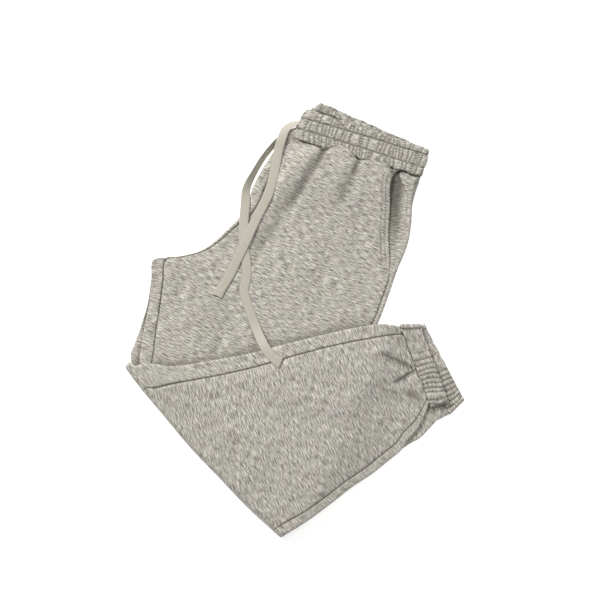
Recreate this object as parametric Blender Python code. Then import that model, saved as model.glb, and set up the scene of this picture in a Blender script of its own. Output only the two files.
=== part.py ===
"""Fleece jogger sweatpants, folded in half along the centre seams, then up at the knee.

The joggers lie on the ground plane, z = 0. From the ground up the pile is: the right leg
(front panel down), the left leg (front panel up), and across them both legs again below
the knee, turned over by the fold, so that the right front ends up on top. +X is towards
the side seams, +Y towards the waist. Lengths are in millimetres until a mesh is made.
"""

from collections import namedtuple
from math import cos, exp, hypot, pi, sin

import bmesh
import bpy
from mathutils import Matrix, Vector

MM = 0.001

# Cloth and layers
CLOTH = 2.0            # wall of one fleece panel
SEAM = 0.3             # gap between two pieces that are sewn together
RISE_SEAM = 1.0        # the same at the centre front, which crosses the sections aslant
LEG = 5.6              # one flattened leg at its edges: two walls and the air between
LEG_GAP = 0.4          # between the right leg and the left leg above it
EDGE = LEG / 2         # radius of a leg's rounded edge
STACK = 2 * LEG + LEG_GAP          # both legs at their edges
EDGE_STEPS = 4         # facets round such an edge
CROWN = 2.3            # how far the cloth rises between a leg's edges
CROWN_REACH = 60.0     # over what reach it rises
CROWN_RIGHT = 30.0     # the strip by the side seam that stays flat

# The pile across the thigh
REST = 14.3            # height at which the turned-up legs lie on the thigh
INNER_LEG = 6.0        # left leg below the knee, two hidden layers in one solid
UPPER_LEG_GAP = 0.8    # between that and the right leg on top of it
DROP = 80.0            # reach over which the turned-up legs come down to the ground
DROP_START = 4.0       # where that begins, outside the thigh's edge
THIGH_EDGE = ((120, -9), (-17, -316))

# The knee fold
FOLD_REACH = 11.0      # how far the outer layer turns past the crease
FOLD_STEPS = 6
FOLD_OUT = Vector((-0.739, -0.674))
FOLD_HEIGHT = REST + INNER_LEG + UPPER_LEG_GAP + LEG

# Waistband, cuffs and pockets
BAND_WALL = 3.6        # two fleece layers and the elastic
BAND_GAP = 0.6
BAND_START = 3.0       # from the folded edge of the rise to the band's bottom corner
BAND_LIFT = 0.6        # between the waist seam and the band's bottom edge
WAIST_UP = Vector((0.28, 0.96))
BACK_RISE = 14.0       # how far the back of the waistband stands above the front
BACK_CORNER = 12.0     # over what reach the back's top edge reaches that height
BAND_BULGE = 6.5       # how far the band's centre-front end bulges at half its height
CUFF_WALL = 2.4
CUFF_THICK = 6.6
CUFF_SPANS = 8
UPPER_CUFF = 7.9       # the right cuff's underside above the left leg's
POCKET_WALL = 1.0
POCKET_SPANS = 4
POCKET_DEPTH = 44.0    # pocket bag, from the leg's edge inwards
POCKET_EDGE = 4.5      # the bag's outer edge, tucked under the side seam

# Drawcord
CORD_WIDTH = 13.5
CORD_THICK = 1.5
CORD_STEP = 14.0
# Corners of a cord's cross-section, as shares of half its width and half its thickness
CORD_SECTION = [(-1, -0.4), (-0.85, -1), (0.85, -1), (1, -0.4),
                (1, 0.4), (0.85, 1), (-0.85, 1), (-1, 0.4)]

BACK_SPANS = 10        # strips across a back panel
FRONT_SPANS = 18       # strips across the left front, which carries the pleats
COLUMN_GAP = 0.3       # least distance between columns, as a share of a strip

# Sections across the two legs from the waist seam to the knee crease. l and r are the
# right leg's edges on the ground. inset_l and inset_r bring in the left leg on top of it.
# seam_l is the inseam, or above the crotch the centre front seam, seam_r the side seam or
# the pocket's opening, and under the inseam of the leg beneath, each from its leg's edge.
Section = namedtuple("Section", "lx ly rx ry bow inset_l inset_r seam_l seam_r under")
LEGS = [
    Section(1, 260, 183, 207, 0, 0, 0, 7, 7, 0),
    Section(-20, 257, 180, 196, 0, 0, 6, 10, 8, 0),
    Section(-39, 231, 175, 181, 0, 0, 4, 13, 29, 0),
    Section(-61, 193, 171, 164, 0, 0, 2, 18, 29, 0),
    Section(-71, 161, 170, 144, 0, 0, 1, 13, 32, 0),
    Section(-97, 132, 167, 120, 0, 0, 1, 8, 30, 0),
    Section(-133, 102, 161, 99, 0, 0, 1, 7, 23, 0),
    Section(-173, 90, 152, 78, 0, 0, 1, 7, 13, 0),
    Section(-206, 86, 145, 59, 0, 0, 1, 18, 7, 0),
    Section(-206, 85.4, 145, 58.4, 0, 0.5, 1, 18, 7, 6),
    Section(-210, 57, 136, 33, 0, 1, 1, 17, 7, 12),
    Section(-215, 23, 122, -4, 0, 3, 1, 16, 7, 14),
    Section(-225, -10, 90, -77, 0, 6, 2, 18, 8, 20),
    Section(-235, -38, 54, -158, 1.5, 12, 3, 20, 10, 28),
    Section(-239, -47, 23, -226, 3, 16, 4, 21, 12, 35),
    Section(-240, -50, -6, -290, 5, 20, 4, 22, 14, 41),
    Section(-239, -62, -13, -310, 8, 0, 0, 0, 16, 45),
]
CENTRE_BACK = 4.5      # where the back panels end above the crotch, inside the front fold
CENTRE_BACK_TOP = 12.0
LIP_BY_POCKET = 7.0    # the back panels' lips above the crotch, beside the pockets
CROTCH = 8             # the last section of the rise; the next starts the inseam
CREASE = LEGS[-1]
POCKET_ROWS = (1, 8)

# Sections across the turned-up right leg, from the knee to its cuff seam, and how far the
# left leg under it is drawn in at its edges, or shows past them where that is negative.
Turned = namedtuple("Turned", "lx ly rx ry bow seam_l seam_r inner_l inner_r")
SHINS = [
    Turned(-233, -68, 1, -302, 6, 43, 16, 10, 4),
    Turned(-210, -64, 26, -286, 3, 43, 14, 7, 3),
    Turned(-174, -68, 55, -265, 1, 31, 13, 4, 2),
    Turned(-130, -61, 83, -244, 0, 30, 13, 4, 1),
    Turned(-72, -51, 112, -225, 0, 25, 13, 4, 1),
    Turned(-14, -36, 136, -206, 0, 22, 13, 4, 1),
    Turned(39, -23, 154, -191, 0, 20, 13, 4, 0),
    Turned(83, -13, 165, -175, 0, 20, 13, 5, -7),
    Turned(126, -7, 180, -157, 0, 18, 12, 6, -15),
    Turned(151, -10, 196, -122, 0, 13, 8, 8, -22),
]
SHIN_END = ((158, -16), (218, -135))

# The folded core inside the knee: how far each of its sections lies from the crease at
# its left and right ends, outwards, and its lowest and highest faces there.
Core = namedtuple("Core", "out_l out_r bottom top bow")
KNEE_CORE = [
    Core(4.2, 4.2, 11.5, 14.8, 8),
    Core(2.8, 2.8, 8.6, 17.7, 8),
    Core(0, 0, 6.4, 19.9, 8),
    Core(-5.5, -16.5, 6.4, 19.9, 7),
    Core(-6.0, -17.0, REST, REST + INNER_LEG, 7),
]
CORE_INSET = (14, 4)

# Edge of two layers lying on each other, with a groove between them: how far in from the
# edge each corner lies, and its share of their thickness.
Corner = namedtuple("Corner", "inward share")
LAYERED_EDGE = [
    Corner(3.0, 1.0),
    Corner(0.4, 0.86),
    Corner(0.0, 0.68),
    Corner(1.8, 0.5),
    Corner(0.0, 0.32),
    Corner(0.4, 0.14),
    Corner(3.0, 0.0),
]

# The waistband's bottom corners follow the waist seam; these are its top corners.
BAND_TOP = ((19, 304), (194, 246))

# Cuffs: seam line and hem line, each from its inseam end to its side-seam end.
CUFFS = {
    "left_cuff": (((158.4, -15.6), (218.6, -134.6)), ((187, -4), (246, -117)), 0.0),
    "right_cuff": (((151.6, -10), (196.6, -121.8)), ((178, -12), (223, -120)), UPPER_CUFF),
}

# How the four cloth layers under the waistband follow the crown and the bunching there,
# from the ground up: the highest level of each, its share of the crown and its lift.
Layer = namedtuple("Layer", "top crown_share lift")
LAYERS = [
    Layer(CLOTH, 0.0, 0.0),
    Layer(LEG, 0.38, 1.4),
    Layer(LEG + LEG_GAP + CLOTH, 0.62, 4.0),
    Layer(STACK, 1.0, 3.0),
]

# Where a form starts, and over what reach it comes to its full height.
Ramp = namedtuple("Ramp", "start reach")
LIFT_LEFT = Ramp(10, 45)       # the bunching under the waistband, from the folded edge
LIFT_RIGHT = Ramp(62, 40)      # the same from the side seam
LIFT_DOWN = Ramp(20, 90)       # where it fades down the leg
LIFT_AT_SEAM = 0.35            # share of it that is left right at the waist seam
LIFT_FULL = 25.0
PUFF_LEFT = Ramp(14, 30)
PUFF_RIGHT = Ramp(22, 22)
PUFF_TOP = Ramp(-6, 18)
PUFF_DOWN = Ramp(35, 85)
SHIN_MARGIN = Ramp(8, 45)      # the crown of the turned-up leg, from its edges
SHIN_START = Ramp(-0.4, 3)     # the same from the knee, in sections

# Valleys between the puffs of cloth under the waistband: where each starts and ends, and
# its half width.
Pleat = namedtuple("Pleat", "x0 y0 x1 y1 half_width")
PLEATS = [
    Pleat(44, 250, -2, 175, 11),
    Pleat(-2, 175, -46, 112, 15),
    Pleat(93, 234, 70, 178, 9),
    Pleat(134, 228, 154, 188, 8),
]
PUFF = 2.4

# Drawcords, points along the middle of each flat cord with its tilt in degrees.
Knot = namedtuple("Knot", "x y z tilt")
DRAWCORD_LEFT = [
    Knot(5.0, 285, 9, 60),
    Knot(-4, 283, 11.5, 45),
    Knot(-14, 274, 15.4, 28),
    Knot(-20, 259, 16.0, 8),
    Knot(-24, 245, 15.0, 4),
    Knot(-28, 223, 14.8, 0),
    Knot(-33, 200, 15.3, 0),
    Knot(-39, 180, 15.2, 0),
    Knot(-48, 162, 15.0, 0),
    Knot(-57, 144, 15.4, 0),
    Knot(-67, 122, 16.7, 0),
    Knot(-75, 104, 17.3, 0),
    Knot(-83, 88, 16.7, 0),
    Knot(-91, 71, 15.5, 0),
    Knot(-100, 55, 15.2, 0),
    Knot(-107, 44, 15.2, 0),
    Knot(-113, 33, 15.2, 0),
]
DRAWCORD_RIGHT = [
    Knot(2.0, 276, 6.9, 78),
    Knot(-12, 272, 6.9, 76),
    Knot(-31, 262, 7.0, 74),
    Knot(-49, 240, 7.6, 70),
    Knot(-62, 214, 9.2, 62),
    Knot(-70, 190, 12.2, 35),
    Knot(-72, 168, 13.6, 6),
    Knot(-74, 144, 14.2, 0),
    Knot(-75, 122, 14.8, 0),
    Knot(-74, 104, 15.1, 0),
    Knot(-71, 86, 15.1, 0),
    Knot(-70, 71, 15.1, 0),
    Knot(-71, 57, 15.1, 0),
    Knot(-74, 42, 15.1, 0),
    Knot(-71, 28, 15.1, 0),
    Knot(-65, 10, 15.2, 0),
    Knot(-58, -9, 16.2, 0),
    Knot(-52, -23, 20.4, 0),
    Knot(-45, -37, 26.8, 0),
    Knot(-37, -49, 28.9, 0),
    Knot(-28, -58, 29.2, 0),
    Knot(-20, -63, 29.4, 0),
]

FLEECE = (0.445, 0.423, 0.376)
RIB = (0.474, 0.451, 0.403)
TAPE = (0.604, 0.578, 0.503)


# --- Heights -----------------------------------------------------------------------

def smooth(share):
    """0 to 1 with level ends."""
    share = min(max(share, 0.0), 1.0)
    return share * share * (3 - 2 * share)


def ramp(value, form):
    """0 to 1 along a form's reach."""
    return smooth((value - form.start) / form.reach)


def width_of(section):
    return hypot(section.rx - section.lx, section.ry - section.ly)


def plan(section, across):
    """Point on the ground, so far along a section from its left end."""
    share = across / width_of(section)
    bow = 4 * share * (1 - share) * section.bow
    x = section.lx + (section.rx - section.lx) * share + FOLD_OUT.x * bow
    y = section.ly + (section.ry - section.ly) * share + FOLD_OUT.y * bow
    return x, y


def distance_to_pleat(pleat, x, y):
    dx = pleat.x1 - pleat.x0
    dy = pleat.y1 - pleat.y0
    share = ((x - pleat.x0) * dx + (y - pleat.y0) * dy) / (dx * dx + dy * dy)
    share = min(max(share, 0.0), 1.0)
    return hypot(x - pleat.x0 - share * dx, y - pleat.y0 - share * dy)


def below_waist(x, y):
    """Distance down the leg from the waist seam."""
    waist = LEGS[0]
    along_x = (waist.rx - waist.lx) / width_of(waist)
    along_y = (waist.ry - waist.ly) / width_of(waist)
    return (x - waist.lx) * along_y - (y - waist.ly) * along_x


def crown(section, across):
    """Rise of the cloth between the edges of the two legs, nought at the knee."""
    from_left = smooth((across - section.inset_l) / CROWN_REACH)
    right = width_of(section) - section.inset_r
    from_right = smooth((right - across - CROWN_RIGHT) / CROWN_REACH)
    to_knee = smooth(0.25 + (section.ly - CREASE.ly) / CROWN_REACH)
    return CROWN * from_left * from_right * to_knee


def waist_lift(section, across):
    """0 to 1: how much the bunched cloth under the waistband is raised."""
    down = below_waist(*plan(section, across))
    from_left = ramp(across, LIFT_LEFT)
    from_right = ramp(width_of(section) - across, LIFT_RIGHT)
    at_seam = LIFT_AT_SEAM + (1 - LIFT_AT_SEAM) * smooth(down / LIFT_FULL)
    return from_left * from_right * at_seam * (1 - ramp(down, LIFT_DOWN))


def puffs(section, across):
    """Height of the puffs of the left front between its pleats."""
    x, y = plan(section, across)
    down = below_waist(x, y)
    reach = ramp(down, PUFF_TOP) * (1 - ramp(down, PUFF_DOWN))
    edges = ramp(across, PUFF_LEFT) * ramp(width_of(section) - across, PUFF_RIGHT)
    valley = max(exp(-(distance_to_pleat(p, x, y) / p.half_width) ** 2) for p in PLEATS)
    return PUFF * reach * edges * (1 - valley)


def lifted(section, across, level, puffed=False):
    """Height of a point of the two legs, from its level in the flat stack."""
    layer = next((each for each in LAYERS if level <= each.top), LAYERS[-1])
    height = level + layer.crown_share * crown(section, across)
    height += layer.lift * waist_lift(section, across)
    if puffed:
        height += puffs(section, across)
    return height


def rest(x, y):
    """What the turned-up legs lie on: the thigh, then down to the ground beside it."""
    (x0, y0), (x1, y1) = THIGH_EDGE
    length = hypot(x1 - x0, y1 - y0)
    outside = ((x - x0) * (y0 - y1) + (y - y0) * (x1 - x0)) / length
    return REST * (1 - smooth((outside - DROP_START) / DROP))


def on_legs(section, across, level, puffed=False):
    x, y = plan(section, across)
    return x, y, lifted(section, across, level, puffed)


def in_fold(angle, across, depth):
    """A point of the right leg where it turns round the knee, so deep in its layers."""
    x, y = plan(CREASE, across)
    reach = (FOLD_REACH - depth) * cos(angle)
    half = FOLD_HEIGHT / 2
    return x + FOLD_OUT.x * reach, y + FOLD_OUT.y * reach, half + (half - depth) * sin(angle)


def on_shin(section, number, across, depth):
    """A point of the turned-up right leg, so deep under its top face."""
    x, y = plan(section, across)
    height = rest(x, y) + INNER_LEG + UPPER_LEG_GAP + LEG - depth
    if depth <= CLOTH:
        margin = min(across, width_of(section) - across)
        towards_ends = ramp(number, SHIN_START) * smooth((len(SHINS) - 1 - number) / 2)
        height += CROWN * ramp(margin, SHIN_MARGIN) * towards_ends
    return x, y, height


# --- Meshes ------------------------------------------------------------------------

def material(name, colour, roughness):
    made = bpy.data.materials.new(name)
    made.use_nodes = True
    shader = made.node_tree.nodes["Principled BSDF"]
    shader.inputs["Base Color"].default_value = (*colour, 1)
    shader.inputs["Roughness"].default_value = roughness
    shader.inputs["Metallic"].default_value = 0
    return made


def add_object(name, mesh_data, colour, roughness=0.9):
    bmesh.ops.recalc_face_normals(mesh_data, faces=mesh_data.faces)
    mesh = bpy.data.meshes.new(name)
    mesh_data.to_mesh(mesh)
    mesh_data.free()
    mesh.materials.append(material(name, colour, roughness))
    mesh.shade_smooth()
    made = bpy.data.objects.new(name, mesh)
    bpy.context.collection.objects.link(made)
    print(name, len(mesh.polygons), "faces")
    return made


def add_strip(mesh_data, a, b, c, d):
    """Two triangles between four corners, always split the same way."""
    mesh_data.faces.new((a, b, c))
    mesh_data.faces.new((a, c, d))


def wall(name, outer, inner, colour, ring=False):
    """A cloth wall between two grids of points; a missing point leaves its cells out."""
    data = bmesh.new()
    verts = [[[None if p is None else data.verts.new(Vector(p) * MM) for p in row]
              for row in grid] for grid in (outer, inner)]
    columns = len(outer[0])
    spans = columns if ring else columns - 1
    edges = {}
    for i in range(len(outer) - 1):
        for j in range(spans):
            corners = [(i, j), (i, (j + 1) % columns), (i + 1, (j + 1) % columns), (i + 1, j)]
            if any(outer[r][c] is None for r, c in corners):
                continue
            for side in verts:
                add_strip(data, *(side[r][c] for r, c in corners))
            for k in range(4):
                pair = frozenset((corners[k], corners[(k + 1) % 4]))
                edges.setdefault(pair, []).append((corners[k], corners[(k + 1) % 4]))
    for uses in edges.values():
        if len(uses) == 1:
            (r0, c0), (r1, c1) = uses[0]
            add_strip(data, verts[0][r0][c0], verts[0][r1][c1],
                      verts[1][r1][c1], verts[1][r0][c0])
    return add_object(name, data, colour)


def solid(name, rows, colour):
    """A closed body through rings of points, capped at both ends."""
    data = bmesh.new()
    rings = [[data.verts.new(Vector(p) * MM) for p in row] for row in rows]
    count = len(rings[0])
    for lower, upper in zip(rings, rings[1:]):
        for j in range(count):
            k = (j + 1) % count
            add_strip(data, lower[j], lower[k], upper[k], upper[j])
    for ring in (rings[0], rings[-1]):
        middle = data.verts.new(sum((v.co for v in ring), Vector()) / count)
        for j in range(count):
            data.faces.new((ring[j], ring[(j + 1) % count], middle))
    return add_object(name, data, colour)


# --- Panels of the legs ------------------------------------------------------------

def front_columns(left, right, width, spans):
    """Where a front panel's points lie, between its two seams."""
    inner = [width * j / spans for j in range(2, spans)]
    first = left + SEAM / 2
    last = right - SEAM / 2
    step = width / spans
    least = COLUMN_GAP * step
    inner = [min(max(a, first + least), last - least) for a in inner]
    return [first, *inner, last]


def edge_ring(radius, wall_thickness, start=90, stop=270):
    """Outer and inner points round a rounded edge: across and depth, from the edge."""
    points = []
    for k in range(EDGE_STEPS + 1):
        angle = (start + (stop - start) * k / EDGE_STEPS) * pi / 180
        pair = []
        for r in (radius, radius - wall_thickness):
            pair.append((radius + r * cos(angle), radius - r * sin(angle)))
        points.append(pair)
    return points


def back_columns(width, inset_l, inset_r, lip_l, lip_r):
    """A back panel: its lip over the left edge, the edge, the back, edge and right lip.

    Each column is the across and depth of its outer and of its inner point.
    """
    left = inset_l
    right = width - inset_r
    ring = edge_ring(EDGE, CLOTH)
    columns = [((left + lip_l - SEAM / 2, 0.0), (left + lip_l - SEAM / 2, CLOTH))]
    columns += [((left + o[0], o[1]), (left + i[0], i[1])) for o, i in ring]
    for j in range(1, BACK_SPANS):
        across = width * j / BACK_SPANS
        columns.append(((across, LEG), (across, LEG - CLOTH)))
    columns += [((right - o[0], o[1]), (right - i[0], i[1])) for o, i in reversed(ring)]
    columns.append(((right - lip_r + SEAM / 2, 0.0), (right - lip_r + SEAM / 2, CLOTH)))
    return columns


def open_rise(columns, number):
    """Above the crotch a back panel has no lip at its left: it ends at the centre seam."""
    end = CENTRE_BACK_TOP if number == 0 else CENTRE_BACK
    flat = ((end, LEG), (end, LEG - CLOTH))
    return [None] * (EDGE_STEPS + 1) + [flat] + columns[EDGE_STEPS + 2:]


def raise_back(section, across, point):
    """The back is cut higher: its top edge follows the back of the waistband."""
    corner = smooth((across - CENTRE_BACK_TOP) / BACK_CORNER)
    lift = BACK_RISE * (1 - across / width_of(section)) * corner
    up = band_up(0.0)
    return point[0] + up.x * lift, point[1] + up.y * lift, point[2] + BAND_GAP


def left_front():
    outer, inner = [], []
    for number, s in enumerate(LEGS[:-1]):
        width = width_of(s)
        left = s.inset_l + s.seam_l + (RISE_SEAM - SEAM if number <= CROTCH else 0)
        right = width - s.inset_r - s.seam_r
        across = front_columns(left, right, width, FRONT_SPANS)
        outer.append([on_legs(s, a, STACK, True) for a in across])
        inner.append([on_legs(s, a, STACK - CLOTH, True) for a in across])
    return wall("left_front", outer, inner, FLEECE)


def back_grids(sections, left_leg):
    """Outer and inner points of a back panel where the legs lie flat."""
    grids = [], []
    for number, s in enumerate(sections):
        insets = (s.inset_l, s.inset_r) if left_leg else (0, 0)
        lip_l = s.seam_l if left_leg else s.under
        lip_r = LIP_BY_POCKET if number <= CROTCH else s.seam_r
        columns = back_columns(width_of(s), *insets, lip_l, lip_r)
        if number <= CROTCH:
            columns = open_rise(columns, number)
        for side, grid in enumerate(grids):
            row = []
            for column in columns:
                if column is None:
                    row.append(None)
                    continue
                across, depth = column[side]
                point = on_legs(s, across, STACK - depth if left_leg else depth)
                row.append(point if number else raise_back(s, across, point))
            grid.append(row)
    return grids


def left_back():
    return wall("left_back", *back_grids(LEGS[:-1], True), FLEECE)


def fold_angles():
    """Round the knee from under to over, the ends left to the flat stretches."""
    return [(-90 + 180 * k / FOLD_STEPS) * pi / 180 for k in range(1, FOLD_STEPS + 1)]


def right_front():
    """Under the thigh, round the knee and over the shin; it also wraps the rise edge."""
    wrap = edge_ring(STACK / 2, CLOTH, 270, 90)
    no_wrap = [None] * len(wrap)
    outer, inner = [], []
    for number, s in enumerate(LEGS):
        width = width_of(s)
        right = width - s.seam_r
        rising = number <= CROTCH
        left = STACK / 2 - SEAM / 2 if rising else s.under
        across = front_columns(left, right, width, BACK_SPANS)
        row = [on_legs(s, a, 0.0) for a in across][::-1]
        under = [on_legs(s, a, CLOTH) for a in across][::-1]
        if rising:
            lip = s.seam_l - SEAM / 2
            row += [on_legs(s, o[0], STACK - o[1]) for o, i in wrap[1:]]
            under += [on_legs(s, i[0], STACK - i[1]) for o, i in wrap[1:]]
            row.append(on_legs(s, lip, STACK))
            under.append(on_legs(s, lip, STACK - CLOTH))
        else:
            row += no_wrap
            under += no_wrap
        outer.append(row)
        inner.append(under)
    for angle in fold_angles():
        width = width_of(CREASE)
        across = front_columns(CREASE.under, width - CREASE.seam_r, width, BACK_SPANS)[::-1]
        outer.append([in_fold(angle, a, 0.0) for a in across] + no_wrap)
        inner.append([in_fold(angle, a, CLOTH) for a in across] + no_wrap)
    for number, s in enumerate(SHINS):
        width = width_of(s)
        across = front_columns(s.seam_l, width - s.seam_r, width, BACK_SPANS)[::-1]
        outer.append([on_shin(s, number, a, 0.0) for a in across] + no_wrap)
        inner.append([on_shin(s, number, a, CLOTH) for a in across] + no_wrap)
    return wall("right_front", outer, inner, FLEECE)


def right_back():
    grids = back_grids(LEGS, False)
    columns = back_columns(width_of(CREASE), 0, 0, CREASE.under, CREASE.seam_r)
    for angle in fold_angles():
        for side, grid in enumerate(grids):
            grid.append([in_fold(angle, *column[side]) for column in columns])
    for number, s in enumerate(SHINS):
        columns = back_columns(width_of(s), 0, 0, s.seam_l, s.seam_r)
        for side, grid in enumerate(grids):
            grid.append([on_shin(s, number, *column[side]) for column in columns])
    return wall("right_back", *grids, FLEECE)


# --- The left leg below the knee, hidden in the pile -----------------------------------

def layered_ring(place, first, last, middles):
    """Points round a two-layer cloth solid, with a groove along each edge.

    place(across, share) gives a point at a share of the thickness.
    """
    points = [place(a, 1.0) for a in middles]
    points += [place(last - corner.inward, corner.share) for corner in LAYERED_EDGE]
    points += [place(a, 0.0) for a in reversed(middles)]
    points += [place(first + corner.inward, 1 - corner.share) for corner in LAYERED_EDGE]
    return points


def folded_layers():
    rows = []
    along = Vector((CREASE.rx - CREASE.lx, CREASE.ry - CREASE.ly)).normalized()
    for core in KNEE_CORE:
        start = Vector((CREASE.lx, CREASE.ly)) + FOLD_OUT * core.out_l + along * CORE_INSET[0]
        end = Vector((CREASE.rx, CREASE.ry)) + FOLD_OUT * core.out_r - along * CORE_INSET[1]
        line = Turned(start.x, start.y, end.x, end.y, core.bow, 0, 0, 0, 0)
        width = width_of(line)

        def place(across, share, line=line, core=core):
            return *plan(line, across), core.bottom + (core.top - core.bottom) * share

        middles = [width * j / BACK_SPANS for j in range(1, BACK_SPANS)]
        rows.append(layered_ring(place, 0, width, middles))
    (x0, y0), (x1, y1) = SHIN_END
    for s in [*SHINS, Turned(x0, y0, x1, y1, 0, 0, 0, 0, 0)]:
        width = width_of(s)

        def place(across, share, s=s):
            x, y = plan(s, across)
            return x, y, rest(x, y) + INNER_LEG * share

        middles = [width * j / BACK_SPANS for j in range(1, BACK_SPANS)]
        rows.append(layered_ring(place, s.inner_l, width - s.inner_r, middles))
    return solid("folded_layers", rows, FLEECE)


# --- Waistband ---------------------------------------------------------------------

def band_bottom(share):
    """Bottom edge of the waistband, a seam's gap above the waist seam."""
    waist = LEGS[0]
    x, y = plan(waist, BAND_START + (width_of(waist) - BAND_START) * share)
    return Vector((x, y)) + WAIST_UP * BAND_LIFT


def band_up(share):
    """Direction of the waistband's height."""
    (x0, y0), (x1, y1) = BAND_TOP
    top = Vector((x0 + (x1 - x0) * share, y0 + (y1 - y0) * share))
    return (top - band_bottom(share)).normalized()


def band_path(width):
    """The folded loop in cross-section: across, level and outward normal, all round."""
    pitch = BAND_WALL + BAND_GAP
    levels = [BAND_WALL / 2 + pitch * k for k in range(4)]
    small = pitch / 2
    large = pitch * 1.5
    centre = large + BAND_WALL / 2
    middle = levels[0] + large
    path = []

    def straight(level, start, stop, normal, spans=8):
        for k in range(spans):
            across = start + (stop - start) * k / spans
            path.append((across, level, 0.0, normal, level > pitch and level < 3 * pitch))

    def turn(x, z, radius, start, stop, side, steps, back):
        for k in range(steps):
            angle = (start + (stop - start) * k / steps) * pi / 180
            c, s = cos(angle), sin(angle)
            path.append((x + radius * c, z + radius * s, side * c, side * s, back))

    right = width - small - BAND_WALL / 2
    straight(levels[0], centre, right, -1)
    turn(right, levels[0] + small, small, -90, 90, 1, 4, False)
    straight(levels[1], right, centre, 1)
    turn(centre, middle, small, 270, 90, -1, 4, True)
    straight(levels[2], centre, right, -1)
    turn(right, levels[2] + small, small, -90, 90, 1, 4, False)
    straight(levels[3], right, centre, 1)
    turn(centre, middle, large, 90, 270, 1, 6, False)
    return path


def waistband():
    bottom = [band_bottom(0.0), band_bottom(1.0)]
    width = (bottom[1] - bottom[0]).length
    path = band_path(width)
    grids = [], []
    for height in (0.0, 0.25, 0.5, 0.75, 1.0):
        for grid, offset in zip(grids, (BAND_WALL / 2, -BAND_WALL / 2)):
            row = []
            for across, level, nx, nz, back in path:
                share = (across + nx * offset) / width
                top = Vector(BAND_TOP[0]).lerp(Vector(BAND_TOP[1]), share)
                point = bottom[0].lerp(bottom[1], share).lerp(top, height)
                point.x -= BAND_BULGE * 4 * height * (1 - height) * max(1 - share, 0) ** 4
                if back:
                    point = point + band_up(share) * BACK_RISE * (1 - across / width)
                row.append((point.x, point.y, level + nz * offset))
            grid.append(row)
    return wall("waistband", *grids, RIB, ring=True)


# --- Cuffs and pockets ---------------------------------------------------------------

def cuff(name, seam_line, hem_line, height):
    """A flat ring of doubled cloth round the leg's end, open at the hem."""
    radius = CUFF_THICK / 2
    ring = edge_ring(radius, CUFF_WALL)
    grids = [], []
    for share in (0.0, 0.5, 1.0):
        start = Vector(seam_line[0]).lerp(Vector(hem_line[0]), share)
        end = Vector(seam_line[1]).lerp(Vector(hem_line[1]), share)
        width = (end - start).length
        middles = [width * j / CUFF_SPANS for j in range(1, CUFF_SPANS)]
        for side, grid in enumerate(grids):
            depth = CUFF_WALL * side
            columns = [(p[side][0], p[side][1]) for p in ring]
            columns += [(a, CUFF_THICK - depth) for a in middles]
            columns += [(width - p[side][0], p[side][1]) for p in reversed(ring)]
            columns += [(a, depth) for a in reversed(middles)]
            row = []
            for across, down in columns:
                point = start.lerp(end, across / width)
                z = rest(point.x, point.y) + height + CUFF_THICK - down
                row.append((point.x, point.y, z))
            grid.append(row)
    return wall(name, *grids, RIB, ring=True)


def pocket(name, level, left_leg):
    """The pocket's bag, seen in its opening, between the front and the back panels."""
    outer, inner = [], []
    first, last = POCKET_ROWS
    lift = LAYERS[-1].lift
    for s in LEGS[first:last + 1]:
        edge = width_of(s) - (s.inset_r if left_leg else 0)
        start = edge - POCKET_DEPTH
        across = [start + (POCKET_DEPTH - POCKET_EDGE) * k / POCKET_SPANS
                  for k in range(POCKET_SPANS + 1)]
        rise = [crown(s, a) + lift * waist_lift(s, a) if left_leg else 0.0 for a in across]
        outer.append([(*plan(s, a), level + POCKET_WALL + r) for a, r in zip(across, rise)])
        inner.append([(*plan(s, a), level + r) for a, r in zip(across, rise)])
    return wall(name, outer, inner, FLEECE)


# --- Drawcords ---------------------------------------------------------------------

def spline(knots, step):
    """Points along a Catmull-Rom curve through the knots, about a step apart."""
    padded = [knots[0], *knots, knots[-1]]
    points = []
    for a, b, c, d in zip(padded, padded[1:], padded[2:], padded[3:]):
        length = (Vector(c[:3]) - Vector(b[:3])).length
        steps = max(1, round(length / step))
        for k in range(steps):
            t = k / steps
            points.append([
                0.5 * (2 * q + (r - p) * t + (2 * p - 5 * q + 4 * r - s) * t * t
                       + (3 * q - p - 3 * r + s) * t ** 3)
                for p, q, r, s in zip(a, b, c, d)
            ])
    points.append(list(knots[-1]))
    return points


def drawcord(name, knots):
    """A flat woven cord along its knots, with square ends."""
    points = spline(knots, CORD_STEP)
    rows = []
    for k, point in enumerate(points):
        before = Vector(points[max(k - 1, 0)][:3])
        after = Vector(points[min(k + 1, len(points) - 1)][:3])
        tangent = (after - before).normalized()
        sideways = Vector((0, 0, 1)).cross(tangent).normalized()
        sideways.rotate(Matrix.Rotation(point[3] * pi / 180, 3, tangent))
        upwards = tangent.cross(sideways)
        centre = Vector(point[:3])
        half_width = sideways * (CORD_WIDTH / 2)
        half_thick = upwards * (CORD_THICK / 2)
        rows.append([centre + half_width * a + half_thick * b for a, b in CORD_SECTION])
    return solid(name, rows, TAPE)


# --- The whole garment -----------------------------------------------------------------

def clear_scene():
    for item in list(bpy.data.objects):
        bpy.data.objects.remove(item)


def build():
    clear_scene()
    waistband()
    left_front()
    left_back()
    right_front()
    right_back()
    folded_layers()
    for name, (seam_line, hem_line, height) in CUFFS.items():
        cuff(name, seam_line, hem_line, height)
    pocket("left_pocket", STACK - CLOTH - SEAM - POCKET_WALL, True)
    pocket("right_pocket", CLOTH + SEAM, False)
    drawcord("drawcord_left", DRAWCORD_LEFT)
    drawcord("drawcord_right", DRAWCORD_RIGHT)


build()
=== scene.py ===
# %% [markdown]
# # Fleece joggers, folded flat
# A pair of heather-grey fleece joggers lies on a table: folded in half along the centre
# seams, then turned up at the knee. Each cloth panel is a thin shell that follows the
# same sections as its CAD solid, with the puffs, gathers and creases that the CAD leaves
# out. Everything rides on the one body, root.

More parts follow.
